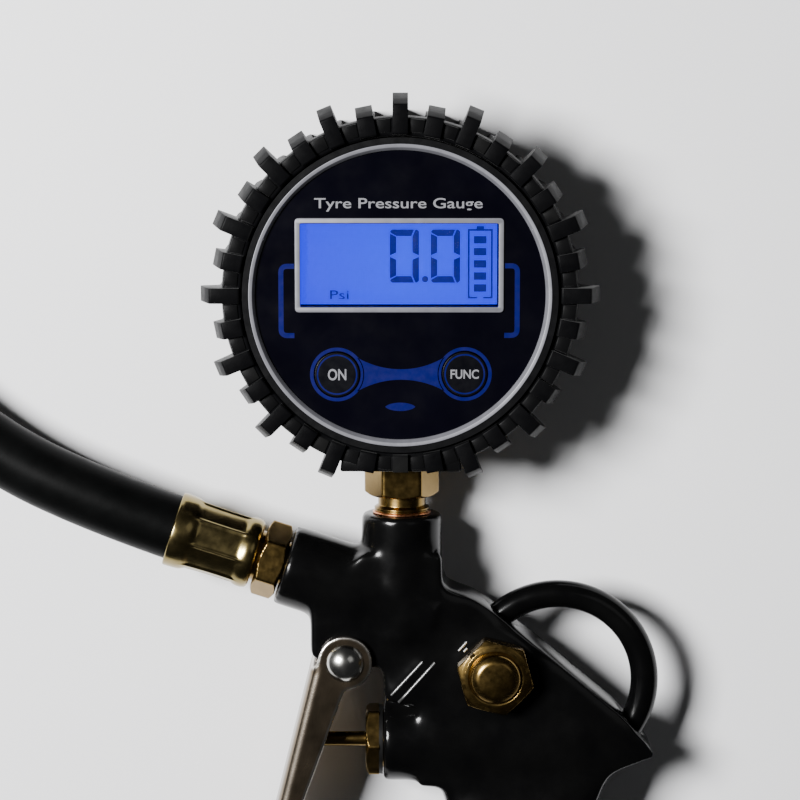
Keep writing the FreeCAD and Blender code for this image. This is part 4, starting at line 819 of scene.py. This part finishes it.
def make_trim():
    """The bezel ring and the display's frame, both with soft metal edges."""
    ring = turned(rounded([
        (30.15, PANEL_TOP), (30.15, 29.95, 0.1), (30.75, 30.9, 0.2), (31.5, BOOT_TOP, 0.15),
        (31.5, PANEL_TOP),
    ]), 256, closed=True)
    drawn("face_ring", GAUGE_PLACE, [ring], "trim_silver", "gun", ["bezel_ring"])
    frame_part = plate([box_outline(-21.85, 21.45, -3.5, 16.1, 0.9),
                        box_outline(-20.75, 20.4, -2.4, 15.0, 0.35)],
                       PANEL_TOP, PANEL_TOP + 0.4, 0.14)
    drawn("display_frame", GAUGE_PLACE, [frame_part], "trim_silver", "gun", ["lcd_frame"])


def stroke(path, width):
    """Outline of a line of even width through 2D points."""
    spots = [Vector(p) for p in path]
    runs = [(after - spot).normalized() for spot, after in zip(spots, spots[1:])]
    left, right = [], []
    for spot, run_in, run_out in zip(spots, runs[:1] + runs, runs + runs[-1:]):
        run = (run_in + run_out).normalized()
        side = Vector((-run.y, run.x))
        reach = width / 2 / max(MITRE_LIMIT, run.dot(run_in))
        left.append(tuple(spot + side * reach))
        right.append(tuple(spot - side * reach))
    return left + right[::-1]


KEY_RING = (5.64, 4.92)
LINK_RING = 5.45
LINK_SPREAD = 41.0


def make_panel_print():
    """Brackets beside the display, rings round the keys, their link, a lens and a heading."""
    low, high = PANEL_TOP, PANEL_TOP + PRINT
    parts = []
    left = rounded([(-22.0, 6.1), (-24.75, 6.1, 1.8), (-24.75, -8.35, 1.8), (-22.0, -8.35)], 6)
    right = rounded([(21.7, 6.2), (24.25, 6.2, 1.8), (24.25, -8.3, 1.8), (21.6, -8.3)], 6)
    for path in (left, right):
        parts.append(plate([stroke(path, 1.05)], low, high))
    for x, y, *word in KEYS.values():
        parts.append(plate([circle_outline(x, y, radius) for radius in KEY_RING], low, high))
    parts.append(plate([link_between_rings()], low, high))
    lens = [(3.1 * math.cos(a), -23.3 + 0.88 * math.sin(a) * abs(math.sin(a)) ** 0.35)
            for a in (FULL_TURN * i / 64 for i in range(64))]
    parts.append(plate([lens], low, high))
    drawn("panel_marks", GAUGE_PLACE, parts, "print_blue", "gun")
    heading = lettering("Tyre Pressure Gauge", -17.8, 17.0, 17.45, 20.25, low, high, 0.008)
    drawn("panel_heading", GAUGE_PLACE, [heading], "print_white", "gun")


def arc_points(x, y, radius, first, last, count=12):
    """Points along an arc between two angles in degrees."""
    angles = [math.radians(first + (last - first) * i / count) for i in range(count + 1)]
    return [(x + radius * math.cos(a), y + radius * math.sin(a)) for a in angles]


def link_between_rings():
    """The blue link, whose ends follow the two rings."""
    left = arc_points(*KEYS["on"][:2], LINK_RING, LINK_SPREAD, -LINK_SPREAD)
    right = arc_points(*KEYS["func"][:2], LINK_RING, 180.0 + LINK_SPREAD, 180.0 - LINK_SPREAD)
    return left + waist(left[-1], right[0], -17.6) + right + waist(right[-1], left[0], -15.4)


def waist(start, end, level):
    """A curve from one ring to the other that passes a level half way."""
    line = []
    for step in range(1, 20):
        t = step / 20
        flat = 1.0 - abs(2 * t - 1.0) ** 2.1
        x = start[0] + (end[0] - start[0]) * t
        y = start[1] + (end[1] - start[1]) * t
        line.append((x, y + (level - y) * flat))
    return line


def digit_strokes(left, right, low, high):
    """The six lit strokes of a zero on a seven-stroke display."""
    half = (low + high) / 2
    thick, gap, slant = 1.4, 0.13, 0.62
    ease = thick * 0.3
    strokes = []
    for sign, far in ((1, high), (-1, low)):
        strokes.append([
            (left + 0.05, half + gap * sign), (left, half + (gap + 0.15) * sign),
            (left, far - 0.85 * sign), (left + thick, far - (thick + 0.13) * sign),
            (left + thick, half + (gap + slant) * sign),
        ])
        strokes.append([
            (right - 0.05, half + gap * sign), (right, half + (gap + 0.15) * sign),
            (right, far - ease * sign), (right - ease, far), (right - 0.78, far),
            (right - thick, far - (thick + 0.1) * sign),
            (right - thick, half + (gap + slant) * sign),
        ])
        strokes.append([
            (left, far - 0.58 * sign), (left + 0.1, far - ease * sign), (left + ease, far),
            (right - 1.02, far), (right - thick - 0.2, far - thick * sign),
            (left + thick + 0.05, far - thick * sign),
        ])
    return strokes


DIGIT_ROW = (2.5, 13.6)
CELL_HALF = 0.79


def make_display_marks():
    """Reading, battery sign and unit on the display, and a dark line along its edge, painted
    shade where the frame's recess wall shades the glass.
    """
    low, high = GLASS_TOP, GLASS_TOP + PRINT
    outlines = digit_strokes(-2.2, 3.9, *DIGIT_ROW) + digit_strokes(6.3, 12.45, *DIGIT_ROW)
    outlines.append(circle_outline(5.16, 3.25, 0.68, 32))
    outlines.append(stroke([(16.0, -0.6), (14.2, -0.6), (14.2, 13.5), (19.0, 13.5),
                            (19.0, -0.6), (17.2, -0.6)], 0.42))
    outlines.append(box_outline(15.8, 17.4, 13.7, 14.3))
    for level in (11.45, 8.97, 6.43, 3.9, 1.41):
        outlines.append(box_outline(15.25, 17.9, level - CELL_HALF, level + CELL_HALF))
    parts = [plate([outline], low, high) for outline in outlines]
    parts.append(lettering("Psi", -14.65, -10.7, -1.0, 0.95, low, high, 0.012))
    drawn("display_marks", GAUGE_PLACE, parts, "display_glass", "gun", material=STROKES)
    # Dark strips on the glass along three of its edges: painted shade from the frame's recess
    # wall.
    edges = [plate([box_outline(*edge)], low, high) for edge in (
        (-20.75, 20.4, -2.4, -2.0), (-20.75, 20.4, 14.75, 15.0), (20.1, 20.4, -2.4, 15.0))]
    drawn("display_edge_shade", GAUGE_PLACE, edges, "panel_black", "gun")


def make_keys():
    """Each key's cap, the ring printed on it and its word."""
    for tag, (x, y, text, half, tall) in KEYS.items():
        place, body = stand(at(x, y, 0)), tag + "_key"
        cap = turned(rounded([
            (0.0, 26.2), (1.5, 26.2), (1.5, 27.0), (5.4, 27.0), (5.4, 27.8, 0.1), (4.65, 27.8),
            (4.65, KEY_TOP, 0.12), (3.2, KEY_TOP - 0.03), (0.0, KEY_TOP - 0.05),
        ]), 128)
        drawn("key_" + tag, place, [cap], "key_black", body, ["button_" + tag])
        low, high = KEY_TOP - RAISED, KEY_TOP + PRINT
        ring = plate([circle_outline(0, 0, 4.24), circle_outline(0, 0, 3.92)], low, high)
        drawn("key_ring_" + tag, place, [ring], "print_blue", body)
        word = lettering(text, -half, half, -tall, tall, low, high, 0.02)
        drawn("key_word_" + tag, place, [word], "print_white", body)


# -------------------- brass and plated fittings

PORT_X = 0.33
DOWN_GUN = (0.0, -1.0, 0.0)


def make_port():
    """The brass port with its hexagon, and the copper washer on the post."""
    place = stand(on_gun(PORT_X, 0), DOWN_GUN)
    hexagon = hex_block(37.2, 44.47, 14.0, turn=0.0, bore=5.0, ends=(False, True))
    neck = turned(rounded([
        (1.6, 26.0), (4.95, 26.0), (4.95, 44.3), (5.1, 44.4, 0.2), (5.1, 46.55, 0.3),
        (5.6, 46.9, 0.25), (5.9, 47.1, 0.15), (5.9, 47.35, 0.12), (5.62, 47.5, 0.08),
        (5.9, 47.65, 0.12), (5.8, 47.9), (4.8, 47.9), (4.8, 58.0), (1.6, 58.0),
    ]), 128, closed=True)
    drawn("port_fitting", place, [hexagon, neck], "brass", "gun", ["gauge_port"], weld=False)
    washer = turned(rounded([
        (5.0, 47.9), (6.1, 47.9, 0.1), (6.3, 48.15, 0.12), (6.15, 48.4, 0.1), (5.0, 48.4),
    ]), 128, closed=True)
    drawn("port_seal_ring", place, [washer], "copper", "gun", ["port_washer"])


PLUG = (20.25, -82.10)


def make_side_plug():
    """The domed hexagon plug on the casting's face."""
    place = stand(on_gun(*PLUG))
    hexagon = hex_block(8.5, 12.5, 14.7, turn=45.0, bore=4.0, face=0.985, ends=(False, True))
    cap = turned(rounded([
        (0.0, 1.5), (4.45, 1.5), (4.45, 8.5), (6.6, 12.42), (6.6, 12.6, 0.1),
        (5.9, 12.68, 0.2), (5.4, 12.5, 0.1), (5.3, 13.6, 1.2), (3.9, 14.7, 2.0),
        (1.2, 14.88, 1.0), (0.0, 14.9),
    ]), 128)
    drawn("plug_cap", place, [hexagon, cap], "brass", "gun", ["side_plug"], weld=False)


def make_rivet():
    """The lever's pivot: a shank with a domed head at each end."""
    shank, head, under, rise, steps = 1.95, 4.05, 9.3, 2.2, 16
    ball = (head * head + rise * rise) / (2 * rise)
    dome = []
    for step in range(steps + 1):
        angle = math.asin(head / ball) * (1 - step / steps)
        dome.append((ball * math.sin(angle), under + rise - ball + ball * math.cos(angle)))
    line = [(shank, under), (head - 0.1, under)] + dome
    line = [(r, -h) for r, h in reversed(line)] + line
    drawn("lever_rivet", stand(on_gun(*LEVER_PIVOT)), [turned(line)], "nickel_plate", "gun",
          ["lever_pivot_pin"], material=POLISHED)


VALVE_Y = -98.4
INTO_GUN = (1.0, 0.0, 0.0)


def make_valve():
    """The bushing that closes the valve, its pin, and the spring inside."""
    place = stand(on_gun(0, VALVE_Y), INTO_GUN, (0, 0, 1))
    hexagon = hex_block(-7.46, -4.57, 14.0, turn=0.0, bore=1.66, ends=(True, False))
    collar = turned(rounded([
        (1.65, -7.46), (1.65, 4.0), (6.2, 4.0), (6.2, -4.57), (3.0, -4.57),
    ]), 96, closed=True)
    drawn("bushing_hex", place, [hexagon, collar], "brass", "gun", ["valve_bushing"],
          weld=False)
    pin = turned(rounded([
        (0.0, -21.1), (1.1, -21.1, 0.3), (1.6, -20.4, 0.3), (1.6, 17.0), (0.0, 17.0),
    ]), 64)
    drawn("push_pin", place, [pin], "brass", "valve_stem", ["valve_pin"])
    spring = drawn("valve_coil", place, [helix(3.4, 0.38, 20.0, 34.0, 6)], "steel", "gun",
                   ["valve_spring"])
    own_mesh(spring)


JAWS = 8
JAW_TURN = 0.11
JAW_EASE = 7.0
JAW_DEPTH = 0.30
JAW_FLATNESS = 0.45
RIDGE_HALF = 0.32
SLEEVE_INSIDE = 7.2
SLEEVE_ROWS = 22


def crimp(low, high):
    """Flattens a sleeve between two heights, with thin ridges left between the jaws."""
    step = FULL_TURN / JAWS

    def shape(angle, radius, height):
        share = (height - low) / (high - low)
        if not 0.0 < share < 1.0 or radius < SLEEVE_INSIDE:
            return radius
        ease = min(1.0, min(share, 1.0 - share) * JAW_EASE)
        ease = ease * ease * (3 - 2 * ease)
        turn = (angle + JAW_TURN) % step - step / 2
        flat = 1.0 - math.cos(step / 2) / math.cos(turn)
        from_ridge = (step / 2 - abs(turn)) * radius
        jaw = 1.0 - math.exp(-(from_ridge / RIDGE_HALF) ** 2)
        return radius - ease * (JAW_DEPTH * jaw + JAW_FLATNESS * radius * flat)
    return shape


def sleeve(back, mouth):
    """The crimped sleeve, from its closed back to its belled mouth."""
    way = 1.0 if mouth > back else -1.0
    rows = [(4.0, back), (6.3, back), (7.0, back + 0.12 * way), (7.45, back + 0.5 * way),
            (7.68, back + 1.3 * way), (7.7, back + 2.2 * way), (7.68, back + 3.0 * way)]
    first, last = back + 3.0 * way, mouth - 4.6 * way
    for step in range(1, SLEEVE_ROWS):
        t = step / SLEEVE_ROWS
        rows.append((7.66 - 0.10 * math.sin(math.pi * t) + 0.12 * t, first + (last - first) * t))
    rows += [(7.82, last), (7.95, last + 0.9 * way), (8.06, last + 2.0 * way),
             (8.1, last + 3.2 * way), (8.1, mouth - 0.35 * way), (8.02, mouth - 0.08 * way),
             (7.8, mouth), (7.04, mouth), (7.04, back + 1.3 * way), (4.0, back + 1.3 * way)]
    return turned(rows, 192, crimp(first - 0.6 * way, last + 0.9 * way), closed=True)


HOSE_END = (-24.92, -59.7)
HOSE_TURN = math.radians(18.0)
HOSE_WAY = (-math.cos(HOSE_TURN), math.sin(HOSE_TURN), 0.0)
HOSE_SIDE = (math.sin(HOSE_TURN), math.cos(HOSE_TURN), 0.0)
HOSE_BORE = 2.3
BARBS = 5
BARB_ROOT = 3.4
BARB_CREST = 3.95


def barbed_stem(start, stop):
    """A barbed stem from its shoulder to its tip."""
    line = [(HOSE_BORE, start), (BARB_ROOT, start)]
    step = (stop - start) / BARBS
    for index in range(BARBS):
        base = start + step * index
        line += [(BARB_CREST, base + step * 0.15), (BARB_CREST, base + step * 0.3),
                 (BARB_ROOT, base + step)]
    return turned(line + [(HOSE_BORE, stop)], 64, closed=True)


def make_hose_fittings():
    """The fitting between the gun and the hose, and the sleeve crimped on the hose."""
    place = stand(on_gun(*HOSE_END), HOSE_WAY, HOSE_SIDE)
    hexagon = hex_block(0.3, 5.7, 14.6, turn=5.0, bore=2.4)
    thread = turned([(HOSE_BORE, -10.8), (4.8, -10.8), (4.8, 0.3), (5.5, 0.3), (5.5, 6.4),
                     (HOSE_BORE, 6.4)], 64, closed=True)
    drawn("hose_union", place, [hexagon, thread, barbed_stem(6.4, 24.0)], "brass", "gun",
          ["hose_fitting"], weld=False)
    drawn("hose_sleeve", place, [sleeve(6.4, 25.2)], "gold_plate", "gun", ["hose_ferrule"],
          sharp=60.0)


def make_inlet():
    """The quick-release air plug at the grip's end."""
    place = stand(on_gun(27.5, -167.0), DOWN_GUN)
    hexagon = hex_block(0.0, 6.0, 17.0, turn=30.0, bore=2.9, ends=(False, True))
    plug = turned(rounded([
        (2.8, -11.2), (6.4, -11.2), (6.4, 0.0), (4.5, 0.2), (4.5, 9.0, 0.5),
        (5.95, 9.05, 0.4), (5.95, 15.5, 0.5), (4.0, 16.4, 0.5), (4.0, 19.5, 0.5),
        (4.9, 20.5, 0.4), (4.9, 22.0, 0.4), (3.9, 23.0, 0.3), (3.9, 28.4, 0.3), (3.5, 29.0, 0.2),
        (2.8, 29.0),
    ]), 128, closed=True)
    drawn("inlet_plug", place, [hexagon, plug], "brass", "gun", ["inlet_fitting"], weld=False)


# -------------------- the gun

LEVER_PIVOT = (-11.8, -79.58)
LEVER_TILT = math.radians(13.96)
LEVER_BACK = ((-92.0, -9.0), (-80.0, -3.6), (-50.0, -6.8), (0.0, -6.8))  # up, along
LEVER_CHEEK = 9.2
LEVER_BEND = 2.3
FACE_RIDGES = (
    ((-1.9, -86.8), (4.75, -79.5)), ((-0.3, -88.4), (7.4, -79.7)),
    ((12.5, -77.1), (14.2, -75.2)), ((13.6, -77.3), (14.3, -76.5)),
)


def ridge(start, stop, casting):
    """A thin rounded stroke that follows the casting's face."""
    line, steps, rise = [], 16, 0.08
    for step in range(steps + 1):
        spot = Vector(start).lerp(Vector(stop), step / steps)
        above = on_gun(spot.x, spot.y, 30.0)
        place = casting.ray_cast(above, (0.0, 0.0, -1.0))[1]
        line.append((spot.x, spot.y, (place.z - MID) / MM + rise))
    return tube(line, 0.32, 16)


def ramp(value, start, stop):
    """Share of the way from start to stop, held between 0 and 1."""
    return np.clip((value - start) / (stop - start), 0.0, 1.0)


def casting_zones(points):
    """Filling behind the valve's boss; rounding on the rim of the web and on the grip."""
    x, y, z = ((points - np.array(on_gun(0, 0))) / MM).T
    rim = np.maximum(ramp(x, 9.5, 12.5), ramp(y, -111.0, -114.0)) * ramp(y, -158.0, -155.0)
    from_plug = np.hypot(x - PLUG[0], y - PLUG[1])
    rim *= np.where(z > 6.0, ramp(from_plug, 9.5, 11.0), 1.0)
    boss = ramp(x, -1.5, 1.0) * ramp(y, -114.0, -110.0) * ramp(y, -82.0, -86.0)
    return boss * ramp(x, 18.0, 14.0), rim


def bent_lever(points):
    """Rounds the bends between the lever's back and its cheeks."""
    tilt, pivot = LEVER_TILT, np.array(on_gun(*LEVER_PIVOT))
    x, y, z = ((points - pivot) / MM).T
    along, up = x * math.cos(tilt) - y * math.sin(tilt), x * math.sin(tilt) + y * math.cos(tilt)
    inside = np.clip(LEVER_BEND + np.interp(up, *zip(*LEVER_BACK)) - along, 0.0, None)
    above = np.clip(LEVER_BEND - LEVER_CHEEK + np.abs(z), 0.0, None)
    reach = np.maximum(np.hypot(inside, above), LEVER_BEND)
    move = (1.0 - LEVER_BEND / reach) * (inside > 0) * (above > 0) * ramp(up, -0.5, -3.5)
    x, y = x + inside * move * math.cos(tilt), y - inside * move * math.sin(tilt)
    z = z - np.sign(z) * above * move
    return pivot + np.stack([x, y, z], axis=1) * MM


def make_gun():
    """The casting with the strokes on its face, and the squeeze lever."""
    mesh = cast_copy("gun_body", 0.5, 20, 4, extra=110, zones=casting_zones)
    casting = finished("casting", mesh, "black_enamel", "gun", ["gun_body"], 60.0)
    bpy.context.view_layer.update()
    strokes = [ridge(*ends, casting) for ends in FACE_RIDGES]
    # The strokes get the lighter enamel, a painted highlight along the ridges.
    drawn("casting_strokes", stand(on_gun(0, 0)), strokes, "black_enamel", "gun",
          material=RIDGE_HIGHLIGHT)
    mesh = cast_copy("lever", 0.3, 2, 3, shape=bent_lever)
    finished("squeeze_lever", mesh, "nickel_plate", "lever", ["lever"], 60.0)


# -------------------- the chuck

def make_chuck():
    """The sleeve, stem, head, thumb lever and spring at the hose's far end."""
    end, before = at(*HOSE_ROUTE[-1]), at(*HOSE_ROUTE[-2])
    place = stand(end, end - before, (0, 0, 1))
    drawn("chuck_sleeve", place, [sleeve(1.2, -17.0)], "gold_plate", "gun", ["chuck_ferrule"],
          sharp=60.0)
    hexagon = hex_block(1.2, 7.2, 13.0, turn=30.0, bore=2.4, ends=(True, False))
    drawn("chuck_union", place, [hexagon, barbed_stem(1.2, -15.5)], "brass", "gun",
          ["chuck_stem"], weld=False)
    mesh = cast_copy("chuck_body", 0.3, 6, 3)
    finished("chuck_head", mesh, "brass", "gun", ["chuck_body"], 60.0)
    mesh = cast_copy("chuck_clip", 0.25, 2, 5)
    finished("thumb_lever", mesh, "nickel_plate", "chuck_lever", ["chuck_clip"], 60.0)
    upright = (place @ Matrix.Translation((5.8, 0.0, 12.5))
               @ Matrix.Rotation(math.radians(90.0), 4, "Y"))
    spring = drawn("thumb_spring", upright, [helix(2.0, 0.28, 0.0, 6.1, 5)], "steel", "gun",
                   ["chuck_clip_spring"])
    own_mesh(spring)


# -------------------- putting it together

def dress_cad_nodes():
    """Gives the CAD nodes that stay visible the finish of their own slot."""
    for name, node in NODES.items():
        node.data.materials.clear()
        node.data.materials.append(MATERIALS[NODE_SLOT[name]])


make_camera()
hose = make_hose()
make_stage()
dress_cad_nodes()
make_boot()
make_trim()
make_panel_print()
make_display_marks()
make_keys()
make_port()
make_side_plug()
make_rivet()
make_valve()
make_hose_fittings()
make_inlet()
make_gun()
make_chuck()
